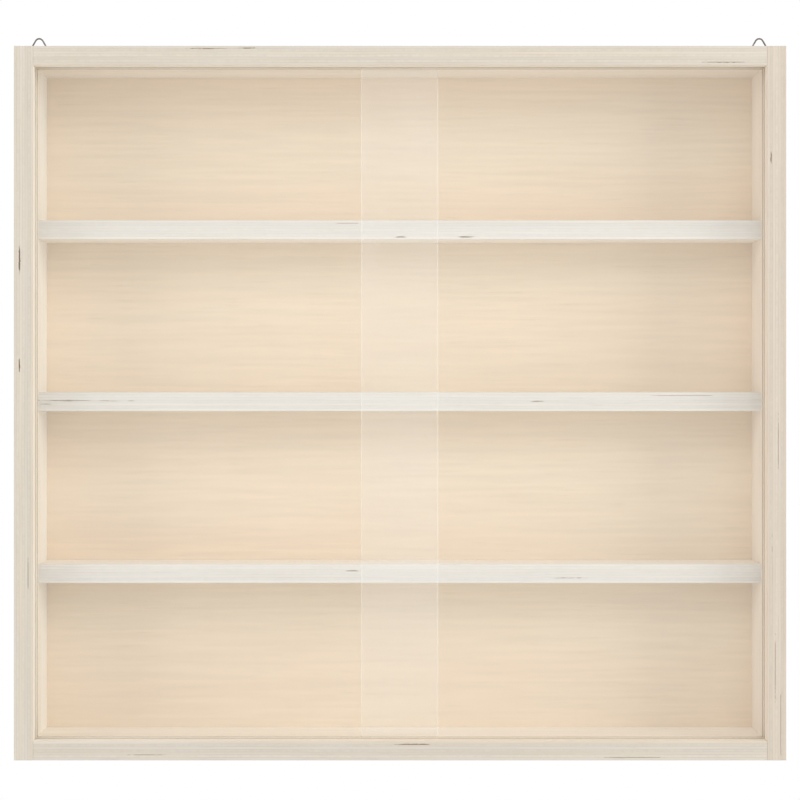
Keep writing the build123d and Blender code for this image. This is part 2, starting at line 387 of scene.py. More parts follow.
def row_places(
    start: float, end: float, spacing: float, arris: float, marks: Sequence[float] = ()
) -> np.ndarray:
    """Places of the rows along a straight path.

    Args:
        start: the path's first coordinate.
        end: its last coordinate.
        spacing: about how far apart plain rows are.
        arris: radius of the rounded ends.
        marks: places that need close rows on both sides, as a recess's ends do.

    Returns:
        The rows' coordinates, in rising order.
    """
    clear = 2.5 * arris
    plain = np.linspace(start + clear, end - clear, max(2, round((end - start) / spacing)))
    either_side = np.concatenate([CLOSE_ROWS, -CLOSE_ROWS])
    extra = (np.array(marks, float)[:, None] + either_side).reshape(-1)
    extra = extra[(extra > start + clear) & (extra < end - clear)]
    near = np.abs(plain[:, None] - extra[None, :]).min(axis=1, initial=1.0)
    body = np.sort(np.concatenate([plain[near > 0.15 * MM], extra]))
    body = body[np.concatenate([[True], np.diff(body) > 0.12 * MM])]
    rows = end_rows(arris)
    return np.concatenate([start + rows, body, (end - rows)[::-1]])


# ---------------------------------------------------------------------------
# Node trees
# ---------------------------------------------------------------------------
class Bench:
    """A material's node tree, with short words for the nodes that the finishes use."""

    def __init__(self, name: str) -> None:
        """Starts an empty tree with a material output.

        Args:
            name: the material's name.
        """
        self.material = bpy.data.materials.new(name)
        self.material.use_nodes = True
        self.tree = self.material.node_tree
        self.tree.nodes.clear()
        self.end = self.tree.nodes.new("ShaderNodeOutputMaterial")

    def add(self, kind: str, feeds: dict[Any, Any], **settings: Any) -> bpy.types.Node:
        """Adds a node.

        Args:
            kind: the node's type, without its ShaderNode prefix.
            feeds: for each input, by name or number, a socket to link or a plain value.
            **settings: the node's own properties.

        Returns:
            The node.
        """
        node = self.tree.nodes.new("ShaderNode" + kind)
        for key, value in settings.items():
            setattr(node, key, value)
        for key, value in feeds.items():
            if isinstance(value, bpy.types.NodeSocket):
                self.tree.links.new(value, node.inputs[key])
            else:
                node.inputs[key].default_value = value
        return node

    def place(self) -> Socket:
        """Where a point is in the frame, as its piece's object coordinates."""
        return self.add("TexCoord", {}).outputs["Object"]

    def math(self, operation: str, first: Any, second: Any = 0.0) -> Socket:
        """The result of a Math node."""
        return self.add("Math", {0: first, 1: second}, operation=operation).outputs[0]

    def scaled(self, vector: Socket, factors: Any) -> Socket:
        """A vector times another, component by component."""
        return self.add("VectorMath", {0: vector, 1: factors}, operation="MULTIPLY").outputs[0]

    def moved(self, vector: Socket, step: Any) -> Socket:
        """A vector plus another."""
        return self.add("VectorMath", {0: vector, 1: step}).outputs[0]

    def dimmed(self, colour: Socket, factor: Any) -> Socket:
        """A colour times a number."""
        return self.add("VectorMath", {0: colour, "Scale": factor}, operation="SCALE").outputs[0]

    def noise(self, vector: Socket, scale: float, detail: float = 3.0, rough: float = 0.55) -> Socket:
        """A Noise Texture's height, between 0 and 1."""
        feeds = {"Vector": vector, "Scale": scale, "Detail": detail, "Roughness": rough}
        return self.add("TexNoise", feeds).outputs["Fac"]

    def ramp(
        self, value: Any, low: float, high: float, to_low: float = 0.0, to_high: float = 1.0
    ) -> Socket:
        """A smooth step of a value from one pair of numbers to another."""
        feeds = {0: value, 1: low, 2: high, 3: to_low, 4: to_high}
        return self.add("MapRange", feeds, interpolation_type="SMOOTHSTEP").outputs[0]

    def blend(self, share: Any, first: Any, second: Any) -> Socket:
        """A colour between two colours."""
        paint = [(*value, 1.0) if isinstance(value, tuple) else value for value in (first, second)]
        return self.add("Mix", {0: share, 6: paint[0], 7: paint[1]}, data_type="RGBA").outputs[2]

    def between(self, share: Any, first: Any, second: Any) -> Socket:
        """A vector between two vectors."""
        return self.add("Mix", {0: share, 4: first, 5: second}, data_type="VECTOR").outputs[1]

    def bump(self, height: Socket, depth: float, strength: float) -> Socket:
        """A normal from a height between 0 and 1 and the depth of the relief, in metres."""
        feeds = {"Height": height, "Distance": depth, "Strength": strength}
        return self.add("Bump", feeds).outputs[0]

    def principled(self, **feeds: Any) -> bpy.types.Node:
        """A Principled shader, whose inputs are named with _ for each space."""
        return self.add("BsdfPrincipled", {key.replace("_", " "): feeds[key] for key in feeds})

    def mixed(self, share: Any, first: bpy.types.Node, second: bpy.types.Node) -> bpy.types.Node:
        """A shader between two shaders."""
        return self.add("MixShader", {0: share, 1: first.outputs[0], 2: second.outputs[0]})

    def surface(self, shader: bpy.types.Node) -> bpy.types.Material:
        """Joins a shader to the output, and gives the finished material."""
        self.tree.links.new(shader.outputs[0], self.end.inputs["Surface"])
        return self.material


# ---------------------------------------------------------------------------
# Finishes
# ---------------------------------------------------------------------------
# Plywood's patterns, in waves per metre along the grain, across it and through the sheet.
# A pair is for plies whose grain runs along the sheet and for those that it crosses.
FINE_GRAIN = ((5.0, 120.0, 120.0), (120.0, 5.0, 120.0))
SLOW_GRAIN = ((1.6, 16.0, 16.0), (16.0, 1.6, 16.0))
PLY_WAVE = (9.0, 30.0, 0.0)
GROWTH = (2.4, 30.0, 0.0)
GLUE_BREAKS = (14.0, 14.0, 3.0)
FUZZ = 2600.0
# How many times the growth figure goes from light to dark, over the noise's whole range.
RING_COUNT = 46.0
ACRYLIC_INDEX = 1.49


@dataclass(frozen=True)
class Plywood:
    """Bare plywood, as a pattern in the solid: plies whose grain runs along and across in
    turn, thin glue lines between them, pores, streaks and dark gaps.

    Attributes:
        name: the material's name.
        lie: how the sheet lies.
        low_face: where its low face is, along its thickness after the turn, in metres.
        thickness: the sheet's thickness.
        plies: how many layers it is glued from.
        wood: colour of the face veneer.
        flush: a warmer colour that the veneer drifts towards.
        end_grain: colour of cut ends of the grain.
        glue: colour of the glue lines.
        seed: moves the pattern, so that no two boards are alike.
        figure: how strongly the growth figure shows on the faces.
        ply_shift: how far the tones of separate plies differ.
        face_tint: what the smooth faces' colour is, as a multiple of the sawn
        edges': partly the face veneer's paler tone and partly painted light that lifts
        the faces, which lie in shade inside the case.
        drift: how far the veneer's colour wanders to the warmer one.
        soiled: how much painted shade darkens the sawn edges next to their arrises.
        gap: colour inside the gaps that the saw has laid open: partly the core wood's
        darker tone and partly painted shade of the gap's depth.
    """

    name: str
    lie: Lie
    low_face: float
    thickness: float
    plies: int = 7
    wood: Colour = (0.64, 0.60, 0.535)
    flush: Colour = (0.625, 0.56, 0.465)
    end_grain: Colour = (0.605, 0.555, 0.475)
    glue: Colour = (0.40, 0.33, 0.255)
    seed: float = 0.0
    figure: float = 0.35
    ply_shift: float = 0.035
    # Partly painted light: the faces are lifted to make up for the shade inside the case.
    face_tint: Colour = (1.27, 1.31, 1.36)
    drift: float = 1.0
    soiled: float = 0.34
    gap: Colour = (0.24, 0.165, 0.12)

    def plies_at(self, bench: Bench, height: Socket, across: Socket) -> tuple[Socket, Socket, Socket]:
        """Finds the ply that a point is in: the whole part of its height in the sheet over
        a ply's thickness, with a slow wave added, so that the glue lines aren't straight.

        Args:
            bench: the material's bench.
            height: the point's place through the sheet.
            across: its place, for the wave.

        Returns:
            The ply's number, how far up in the ply the point is, from 0 to 1, and its
            distance from the sheet's middle, in plies.
        """
        depth = bench.math("SUBTRACT", height, self.low_face)
        depth = bench.math("MULTIPLY", depth, self.plies / self.thickness)
        off_middle = bench.math("ABSOLUTE", bench.math("SUBTRACT", depth, self.plies / 2))
        wave = bench.noise(bench.scaled(across, PLY_WAVE), 1.0, 2.0)
        depth = bench.math("ADD", depth, bench.ramp(wave, 0.2, 0.8, -0.14, 0.14))
        depth = bench.math("MAXIMUM", depth, 0.5)
        depth = bench.math("MINIMUM", depth, self.plies - 0.5)
        return bench.math("FLOOR", depth), bench.math("FRACT", depth), off_middle

    def make(self) -> bpy.types.Material:
        """Makes the material. Every odd ply has its grain turned across. The colour is the
        veneer's, then its figure, cut ends, plies, faces, streaks and pores, and over it
        the glue lines, the painted shade along the arrises and the open gaps. The faces'
        lift is partly painted light, and the gaps' dark colour is partly painted shade.
        The relief is the streaks and pores.

        Returns:
            The material.
        """
        bench = Bench(self.name)
        source = bench.add("TexCoord", {})
        turn = {"Rotation": self.lie.value}
        place = bench.add("Mapping", {"Vector": source.outputs["Object"], **turn}).outputs[0]
        facing = bench.add("Mapping", {"Vector": source.outputs["Normal"], **turn}).outputs[0]
        shifted = bench.moved(place, (self.seed, self.seed * 1.7, 0.0))
        height = bench.add("SeparateXYZ", {0: place}).outputs[2]
        ply, share, off_middle = self.plies_at(bench, height, shifted)
        crossed = bench.math("MODULO", ply, 2.0)

        own = bench.add("CombineXYZ", {0: bench.math("MULTIPLY", ply, 0.37), 1: self.seed}).outputs[0]
        moved = bench.moved(shifted, own)
        along = bench.scaled(moved, bench.between(crossed, *FINE_GRAIN))
        streaks = bench.noise(along, 2.2, 5.0, 0.62)
        pores = bench.ramp(bench.noise(along, 9.0, 2.0, 0.5), 0.62, 0.74)
        drift = bench.noise(bench.scaled(moved, bench.between(crossed, *SLOW_GRAIN)), 1.0, 3.0, 0.5)
        rings = bench.noise(bench.scaled(moved, GROWTH), 1.0, 2.0)
        bands = bench.math("SINE", bench.math("MULTIPLY", rings, RING_COUNT))

        parts = bench.add("SeparateXYZ", {0: facing}).outputs
        along_end, across_end, flat = (bench.math("ABSOLUTE", part) for part in parts)
        ends = bench.add("Mix", {0: crossed, 2: along_end, 3: across_end}, data_type="FLOAT").outputs[0]
        ends = bench.ramp(ends, 0.4, 0.9)
        figure = bench.ramp(bands, 0.2, 1.0, 0.0, self.figure)
        figure = bench.math("MULTIPLY", figure, bench.ramp(flat, 0.4, 0.9, 0.25, 1.0))

        colour = bench.blend(bench.ramp(drift, 0.25, 0.75, 0.0, self.drift), self.wood, self.flush)
        colour = bench.blend(figure, colour, self.flush)
        colour = bench.blend(bench.math("MULTIPLY", ends, 0.55), colour, self.end_grain)
        tone = bench.add("TexWhiteNoise", {"W": bench.math("ADD", ply, self.seed)}, noise_dimensions="1D")
        shift = bench.ramp(tone.outputs[0], 0.0, 1.0, 1.0 - self.ply_shift, 1.0 + self.ply_shift)
        colour = bench.dimmed(colour, shift)
        # The faces' lift is partly the veneer's paler tone and partly painted light for faces in shade
        # inside the case.
        faces = bench.between(bench.ramp(flat, 0.4, 0.9), (1.0, 1.0, 1.0), self.face_tint)
        colour = bench.scaled(colour, faces)
        colour = bench.dimmed(colour, bench.ramp(streaks, 0.25, 0.75, 0.955, 1.035))
        colour = bench.dimmed(colour, bench.math("SUBTRACT", 1.0, bench.math("MULTIPLY", pores, 0.085)))

        line = bench.math("ABSOLUTE", bench.math("SUBTRACT", share, 0.5))
        line = bench.ramp(line, 0.445, 0.485)
        thin = bench.noise(bench.scaled(moved, GLUE_BREAKS), 1.0, 3.0)
        broken = bench.ramp(thin, 0.35, 0.65, 0.12, 0.9)
        colour = bench.blend(bench.math("MULTIPLY", line, broken), colour, self.glue)
        # Painted shade: the sawn edges darken towards their arrises, where the rounded arris turns from the
        # light.
        rim = bench.ramp(off_middle, self.plies / 2 - 0.2, self.plies / 2 - 0.02, 0.0, self.soiled)
        rim = bench.math("MULTIPLY", rim, bench.ramp(flat, 0.75, 0.98, 1.0, 0.0))
        colour = bench.blend(rim, colour, self.glue)
        # The gaps' dark colour is partly the core wood's tone and partly painted shade inside the hollow.
        gap = bench.add("Attribute", {}, attribute_name="gap").outputs["Fac"]
        colour = bench.blend(bench.ramp(gap, 0.1, 0.9, 0.0, 0.8), colour, self.gap)

        relief = bench.math("MULTIPLY", streaks, 0.6)
        relief = bench.math("SUBTRACT", relief, bench.math("MULTIPLY", pores, 0.4))
        relief = bench.math("SUBTRACT", relief, bench.math("MULTIPLY", line, 0.35))
        hairy = bench.ramp(ends, 0.0, 1.0, 0.02, 0.3)
        relief = bench.math("ADD", relief, bench.math("MULTIPLY", bench.noise(shifted, FUZZ, 2.0), hairy))
        rough = bench.ramp(streaks, 0.2, 0.8, 0.56, 0.7)
        rough = bench.math("ADD", rough, bench.math("MULTIPLY", ends, 0.12))
        shader = bench.principled(
            Base_Color=colour,
            Roughness=rough,
            IOR=1.48,
            Specular_IOR_Level=0.35,
            Normal=bench.bump(relief, 0.14 * MM, 0.55),
        )
        return bench.surface(shader)


@dataclass(frozen=True)
class ClearSheet:
    """Clear acrylic: the polished faces let light through, with a faint haze and fine
    rubbed marks.

    Attributes:
        name: the material's name.
        haze: share of the light that one face scatters as white.
        index: the sheet's refractive index.
        rubs: the rubbed marks' spacing, in waves per metre along X, Y and Z.
    """

    name: str
    haze: float = 0.03
    index: float = ACRYLIC_INDEX
    rubs: tuple[float, float, float] = (30.0, 30.0, 4.0)

    def make(self) -> bpy.types.Material:
        """Makes the material: Fresnel between see-through and gloss, then a thin haze. Both
        faces of the sheet reflect alike, so a face seen from inside takes the index's
        inverse, which the Fresnel node turns back.

        Returns:
            The material.
        """
        bench = Bench(self.name)
        rubbed = bench.noise(bench.scaled(bench.place(), self.rubs), 1.0, 4.0, 0.6)
        clear = bench.add("BsdfTransparent", {0: (0.992, 0.994, 0.99, 1.0)})
        rough = bench.ramp(rubbed, 0.3, 0.75, 0.02, 0.07)
        gloss = bench.add("BsdfAnisotropic", {"Color": (1.0, 1.0, 1.0, 1.0), "Roughness": rough})
        white = bench.add("BsdfDiffuse", {"Color": (0.95, 0.95, 0.945, 1.0)})
        inside = bench.add("NewGeometry", {}).outputs["Backfacing"]
        index = bench.ramp(inside, 0.0, 1.0, self.index, 1 / self.index)
        fresnel = bench.add("Fresnel", {"IOR": index}).outputs[0]
        share = bench.ramp(rubbed, 0.3, 0.7, self.haze * 0.85, self.haze * 1.15)
        return bench.surface(bench.mixed(share, bench.mixed(fresnel, clear, gloss), white))


@dataclass(frozen=True)
class CutEdge:
    """The sawn and flame-polished edge of the acrylic, which gathers light and shows the
    saw's faint marks.

    Attributes:
        name: the material's name.
        body: how much of the edge looks solid.
        colour: its colour.
        saw: the saw marks' spacing, in waves per metre along X, Y and Z.
    """

    name: str
    body: float = 0.36
    colour: Colour = (0.93, 0.94, 0.925)
    saw: tuple[float, float, float] = (900.0, 60.0, 900.0)

    def make(self) -> bpy.types.Material:
        """Makes the material: a milky gloss, partly see-through, ribbed across the sheet.

        Returns:
            The material.
        """
        bench = Bench(self.name)
        marks = bench.noise(bench.scaled(bench.place(), self.saw), 1.0, 2.0)
        clear = bench.add("BsdfTransparent", {0: (0.97, 0.975, 0.965, 1.0)})
        milky = bench.principled(
            Base_Color=bench.blend(marks, self.colour, (1.0, 1.0, 0.99)),
            Roughness=bench.ramp(marks, 0.3, 0.7, 0.14, 0.3),
            IOR=ACRYLIC_INDEX,
            Normal=bench.bump(marks, 0.02 * MM, 0.4),
        )
        share = bench.ramp(marks, 0.2, 0.8, self.body - 0.08, self.body + 0.08)
        return bench.surface(bench.mixed(share, clear, milky))


@dataclass(frozen=True)
class Metal:
    """Drawn or plated metal with cloudy plating, specks and draw marks.

    Attributes:
        name: the material's name.
        bright: its colour where it is clean.
        dull: its colour where it has dulled.
        rough: lowest and highest roughness.
        clouds: the plating's clouds, in waves per metre.
        specks: the fine specks, in waves per metre.
        marks: the draw marks, in waves per metre.
    """

    name: str
    bright: Colour
    dull: Colour
    rough: tuple[float, float] = (0.28, 0.46)
    clouds: float = 160.0
    specks: float = 2300.0
    marks: float = 1600.0

    def make(self) -> bpy.types.Material:
        """Makes the material: colour and roughness from cloudy noise, relief from marks.

        Returns:
            The material.
        """
        bench = Bench(self.name)
        place = bench.place()
        clouds = bench.noise(place, self.clouds, 4.0, 0.6)
        specks = bench.ramp(bench.noise(place, self.specks, 1.0), 0.66, 0.72)
        colour = bench.blend(bench.ramp(clouds, 0.35, 0.7), self.bright, self.dull)
        colour = bench.blend(bench.math("MULTIPLY", specks, 0.5), colour, self.dull)
        shader = bench.principled(
            Base_Color=colour,
            Metallic=1.0,
            Roughness=bench.ramp(clouds, 0.3, 0.75, *self.rough),
            Normal=bench.bump(bench.noise(place, self.marks), 0.03 * MM, 0.35),
        )
        return bench.surface(shader)


@dataclass(frozen=True)
class Birch:
    """Turned birch of the dowels, whose grain runs along X.

    Attributes:
        name: the material's name.
        light: colour of the early wood.
        dark: colour of the late wood.
        grain: its streaks, in waves per metre along X, Y and Z.
    """

    name: str = "dowel_birch"
    light: Colour = (0.70, 0.56, 0.38)
    dark: Colour = (0.56, 0.41, 0.25)
    grain: tuple[float, float, float] = (36.0, 1260.0, 1260.0)

    def make(self) -> bpy.types.Material:
        """Makes the material: straight fine streaks along the dowel.

        Returns:
            The material.
        """
        bench = Bench(self.name)
        streaks = bench.noise(bench.scaled(bench.place(), self.grain), 1.0, 4.0, 0.6)
        shader = bench.principled(
            Base_Color=bench.blend(bench.ramp(streaks, 0.3, 0.7), self.light, self.dark),
            Roughness=bench.ramp(streaks, 0.3, 0.7, 0.5, 0.66),
            Normal=bench.bump(streaks, 0.1 * MM, 0.5),
        )
        return bench.surface(shader)


# ---------------------------------------------------------------------------
# Boards
# ---------------------------------------------------------------------------
@dataclass(frozen=True)
class Recess:
    """A groove or pocket along a board.

    Attributes:
        side: the side of the section that it is cut into.
        middle: its middle, on that side's own coordinate.
        width: how wide it is.
        depth: how deep it is.
        start: where it starts along the board.
        end: where it ends.
        corner: radius of its end corners in plan.
    """

    side: Side
    middle: float
    width: float
    depth: float
    start: float = -math.inf
    end: float = math.inf
    corner: float = 0.0

    def half_width(self, rows: np.ndarray) -> np.ndarray:
        """Half the width at each row: less the corner's radius, plus the root of that
        radius squared less the square of what the row is short of it. Past an end it
        keeps a tenth, so that no face shrinks to nothing.

        Args:
            rows: the rows' places along the board.

        Returns:
            Half the width at each row.
        """
        inside = np.minimum(rows - self.start, self.end - rows)
        short = np.clip(self.corner - inside, 0.0, self.corner)
        half = self.width / 2 - self.corner + np.sqrt(self.corner**2 - short**2)
        return np.maximum(half, self.width / 20)

    def cut(self, rows: np.ndarray) -> np.ndarray:
        """Share of the full depth at each row, stepping up just inside the ends."""
        inside = np.minimum(rows - self.start, self.end - rows)
        return ease(inside / (0.2 * MM))


@dataclass(frozen=True)
class Void:
    """A gap in a ply that the saw has laid open on the front edge. Its sizes are in
    millimetres.

    Attributes:
        along: its middle along the board, in the frame.
        up: its middle above the board's low face.
        length: its length.
        height: its height.
        depth: how deep it goes in.
    """

    along: float
    up: float
    length: float
    height: float
    depth: float = 0.8


@dataclass
class Board:
    """A plywood board, worked out as its section carried along its length.

    Attributes:
        node: the CAD node that it replaces, whose name it takes.
        finish: its plywood.
        upright: True for a side board, whose length is along Z and thickness along X.
        recesses: its grooves and pockets.
        voids: gaps laid open on its front edge.
        seed: for its waves and the roughness of its gaps.
        arris: radius that its edges are sanded to.
        mouth: radius at the mouth and foot of its recesses.
        end_arris: radius of its sawn ends, less than that of a recess's mouth.
        row_spacing: distance between rows along it.
        ply_step: how much lower a cross ply lies on a cut edge.
        seam_step: how deep a glue line's dip is there.
        rough_step: how deep the edge's roughness is, either way.
    """

    node: str
    finish: Plywood
    upright: bool = False
    recesses: tuple[Recess, ...] = ()
    voids: tuple[Void, ...] = ()
    seed: int = 1
    arris: float = 0.45 * MM
    mouth: float = 0.2 * MM
    end_arris: float = 0.15 * MM
    row_spacing: float = 1.5 * MM
    ply_step: float = 0.02 * MM
    seam_step: float = 0.025 * MM
    rough_step: float = 0.008 * MM

    def section_box(self) -> np.ndarray:
        """The section's box: depth from front to rear, and thickness."""
        box = node_box(self.node)
        return box[:, [1, 0]] if self.upright else box[:, [1, 2]]

    def span(self) -> tuple[float, float]:
        """Where the board starts and ends along its length.

        Returns:
            The start and the end.
        """
        box = node_box(self.node)
        axis = 2 if self.upright else 0
        return float(box[0, axis]), float(box[1, axis])

    def walk(self) -> list[tuple[np.ndarray, np.ndarray, np.ndarray]]:
        """Walks round the section's box, anticlockwise.

        Returns:
            For each side its starting corner, the way along it and the way into the wood.
        """
        low, high = self.section_box()
        starts = [(low[0], low[1]), (high[0], low[1]), (high[0], high[1]), (low[0], high[1])]
        ways = [(1, 0), (0, 1), (-1, 0), (0, -1)]
        return [
            (np.array(start), np.array(way, float), np.array((-way[1], way[0]), float))
            for start, way in zip(starts, ways)
        ]

    def outline(self) -> Outline:
        """The section: a rectangle whose sides dip into the recesses. The front edge has
        close points, because its plies and gaps are relief.

        Returns:
            The section's outline.
        """
        spacings = {
            Side.LOW_FACE: 7.0 * MM,
            Side.REAR_EDGE: 1.2 * MM,
            Side.HIGH_FACE: 7.0 * MM,
            Side.FRONT_EDGE: 0.42 * MM,
        }
        corners: list[Corner] = []
        for side, (start, way, inward) in zip(Side, self.walk()):
            spacing = spacings[side]
            corners.append(Corner(start[0], start[1], self.arris, spacing))
            own = [number for number, recess in enumerate(self.recesses) if recess.side is side]
            for number in sorted(own, key=lambda number: self.along(self.recesses[number])):
                recess = self.recesses[number]
                middle, half, deep = self.along(recess), recess.width / 2, recess.depth
                wall, floor = 2.0 * MM, 1.5 * MM
                steps = ((-half, 0, wall), (-half, deep, floor), (half, deep, wall), (half, 0, spacing))
                for step, down, gap in steps:
                    point = start + way * (middle + step) + inward * down
                    corners.append(Corner(point[0], point[1], self.mouth, gap, number))
        return Outline(tuple(corners))

    def along(self, recess: Recess) -> float:
        """How far a recess's middle is along its side from the side's starting corner.

        Args:
            recess: the recess.

        Returns:
            The distance in metres.
        """
        start, way, _ = self.walk()[recess.side.value]
        axis = 0 if abs(way[0]) > 0.5 else 1
        return float((recess.middle - start[axis]) * way[axis])

    def grid(self) -> Grid:
        """Carries the section along the board. In each row a recess is narrowed and made
        shallower as its ends ask, the outline is drawn in at the rounded ends, and the
        front and rear edges are worn back where plies meet and where gaps lie open.

        Returns:
            The board's surface, with its gaps as paint.
        """
        traced = self.outline().trace()
        start, end = self.span()
        marks = [value for cut in self.recesses for value in (cut.start, cut.end) if math.isfinite(value)]
        rows = row_places(start, end, self.row_spacing, self.end_arris, marks)
        shape = (len(rows), len(traced.points))
        section = np.broadcast_to(traced.points, (*shape, 2)).copy()
        sides = self.walk()
        for number, recess in enumerate(self.recesses):
            origin, way, inward = sides[recess.side.value]
            own = traced.groups == number
            offset = traced.points[own] - origin
            across = offset @ way - self.along(recess)
            deep = offset @ inward
            narrow = recess.half_width(rows) / (recess.width / 2)
            across_now = self.along(recess) + across[None, :] * narrow[:, None]
            deep_now = deep[None, :] * recess.cut(rows)[:, None]
            section[:, own] = origin + across_now[..., None] * way + deep_now[..., None] * inward
        ends = np.minimum(rows - start, end - rows)
        section -= traced.normals[None] * drawn_in(ends, self.end_arris)[:, None, None]
        wear, gap = self.wear(rows, traced)
        section -= traced.normals[None] * wear[..., None]
        along = np.broadcast_to(rows[:, None], shape)
        if self.upright:
            points = np.stack([section[..., 1], section[..., 0], along], axis=-1)
        else:
            points = np.stack([along, section[..., 0], section[..., 1]], axis=-1)
        return Grid(points, paint={"gap": gap})

    def wear(self, rows: np.ndarray, traced: Traced) -> tuple[np.ndarray, np.ndarray]:
        """How far the front and rear edges are worn back. Cross plies lie a few hundredths
        of a millimetre lower, a glue line is a shallow dip, and a gap is an oval hollow
        with an uneven rim.

        Args:
            rows: the rows' places along the board.
            traced: the section's outline.

        Returns:
            The wear in metres and the gaps' paint, both of shape (rows, columns).
        """
        low = self.section_box()[0, 1]
        up = (traced.points[:, 1] - low)[None, :]
        along = rows[:, None]
        edge = ease((np.abs(traced.normals[:, 0]) - 0.8) / 0.2) * (traced.groups < 0)
        layer = up / (self.finish.thickness / self.finish.plies) + 0.14 * mottle(along * 9, 0.0, self.seed)
        crossed = np.floor(layer) % 2
        seam = 1 - ease(np.abs(layer - np.round(layer)) / 0.16)
        rough = mottle(along / (4 * MM), up / (0.9 * MM), self.seed + 1)
        wear = self.ply_step * crossed + self.seam_step * seam * (up > 1 * MM)
        wear = wear + self.rough_step * (rough + 1)
        front = edge * (traced.normals[:, 0] < 0)
        gap = np.zeros(wear.shape)
        ragged = mottle(along / (1.6 * MM), up / (0.7 * MM), self.seed + 2)
        hollow = np.zeros(wear.shape)
        for void in self.voids:
            reach = (along - void.along * MM) / (void.length / 2 * MM)
            rise = (up - void.up * MM) / (void.height / 2 * MM)
            inside = 1.1 - reach**2 - rise**2 + 0.45 * ragged
            opened = ease(inside / 0.7)
            gap = np.maximum(gap, opened)
            hollow = np.maximum(hollow, opened * void.depth * MM)
        return wear * edge + hollow * front, gap * front

    def build(self) -> bpy.types.Object:
        """Builds the board's mesh and gives it its body and plywood.

        Returns:
            The finished piece.
        """
        piece = build_mesh(self.node + "_board", [self.grid()])
        settle(piece, Body.CASE, [self.finish.make()], self.node)
        return piece


# ---------------------------------------------------------------------------
# Turned things: screws and the drill that makes room for them
# ---------------------------------------------------------------------------
# Rings of points across a screw's crown, and its core's radius over its diameter.
CROWN_RINGS = 16
CORE = 0.36


@dataclass(frozen=True)
class Seat:
    """Where a screw or a drill stands.

    Attributes:
        origin: where its head meets the surface that it bears on or lies flush with.
        outward: unit vector from its point to its head.
    """

    origin: tuple[float, float, float]
    outward: tuple[float, float, float]

    def put(self, across: np.ndarray, beside: np.ndarray, rise: np.ndarray) -> np.ndarray:
        """Turns places about the screw's own axis into the frame.

        Args:
            across: first coordinate across the axis.
            beside: second coordinate across the axis.
            rise: height along the axis.

        Returns:
            The places, with a last axis of 3.
        """
        out = np.array(self.outward)
        up = np.array([0.0, 0.0, 1.0])
        side = np.cross(up, out)
        turned = across[..., None] * side + beside[..., None] * up + rise[..., None] * out
        return np.array(self.origin) + turned


@dataclass(frozen=True)
class Screw:
    """A cross-recessed wood screw, head up, as one surface of rings round its axis.

    Attributes:
        length: under the head of a pan screw, or overall of a countersunk one.
        diameter: over the thread.
        head: the head's diameter.
        height: of a pan head; 0 for a countersunk one.
        pitch: the thread's rise in a turn.
        recess: length of the cross recess.
        recess_depth: how deep it is.
    """

    length: float
    diameter: float
    head: float
    height: float
    pitch: float = 1.2 * MM
    recess: float = 3.1 * MM
    recess_depth: float = 0.85 * MM

    def profile(self) -> tuple[np.ndarray, np.ndarray]:
        """The screw's outline. The crown is a shallow dome, the rim is rounded, the shank
        is straight, and the point narrows evenly.

        Returns:
            Radii and heights from the middle of the head to the point.
        """
        core = self.diameter * CORE
        crown = np.linspace(0.02, 0.86, CROWN_RINGS) * self.head / 2
        dome = self.height - 0.22 * self.height * (crown / (self.head / 2)) ** 2
        swing = np.linspace(0.0, math.pi / 2, 5)[1:]
        if self.height > 0:
            rim_r = self.head * 0.43 + self.head * 0.07 * np.sin(swing)
            rim_z = dome[-1] - dome[-1] * 0.55 * (1 - np.cos(swing))
            under_r = np.array([self.head / 2, self.head * 0.49, core * 1.25, core * 1.15])
            under_z = np.array([0.06 * MM, 0.0, 0.0, -0.3 * MM])
            start = 0.3 * MM
        else:
            rim_r = np.array([0.95, 0.985, 1.0]) * self.head / 2
            rim_z = np.array([0.0, -0.02, -0.08]) * MM
            cone = self.head / 2 - core * 1.2
            under_r = np.array([core * 1.5, core * 1.2])
            under_z = np.array([-cone + core * 0.3, -cone - 0.2 * MM])
            start = cone + 0.2 * MM
        tip = self.diameter * 1.1
        shank_z = np.linspace(-start - 0.2 * MM, tip - self.length, 5 * round(self.length / self.pitch))
        point_z = np.linspace(tip - self.length, -self.length, 10)[1:]
        point_r = core * np.linspace(1.0, 0.06, 10)[1:]
        radii = np.concatenate([crown, rim_r, under_r, np.full(len(shank_z), core), point_r])
        heights = np.concatenate([dome, rim_z, under_z, shank_z, point_z])
        return radii, heights

    def grid(self, seat: Seat) -> Grid:
        """Turns the profile. The thread adds to the radius where the height, divided by
        the pitch and less the turn's share, is near a whole number. The recess lowers the
        crown along two crossing bars, whose walls slope.

        Args:
            seat: where the screw stands.

        Returns:
            The screw's surface.
        """
        radii, heights = self.profile()
        turn = np.linspace(0.0, 2 * math.pi, 40, endpoint=False)
        radius = np.broadcast_to(radii[:, None], (len(radii), len(turn))).copy()
        rise = np.broadcast_to(heights[:, None], radius.shape).copy()
        phase = rise / self.pitch - turn[None, :] / (2 * math.pi)
        crest = ease(1 - np.abs(phase - np.round(phase)) / 0.3)
        threaded = ease((-rise - self.length * 0.3) / (1 * MM)) * ease((rise + self.length) / (2 * MM))
        radius += crest * threaded * self.diameter * (0.5 - CORE)
        across, beside = radius * np.cos(turn), radius * np.sin(turn)
        thin = np.minimum(np.abs(across), np.abs(beside))
        far = np.maximum(np.abs(across), np.abs(beside))
        bar = 1 - ease((thin - 0.22 * MM) / (0.2 * MM))
        reach = 1 - ease((far - 0.3 * self.recess) / (0.2 * self.recess))
        crown = rise > self.height - 0.3 * MM
        crown[CROWN_RINGS + 1:] = False
        rise -= bar * reach * self.recess_depth * crown
        return Grid(seat.put(across, beside, rise))


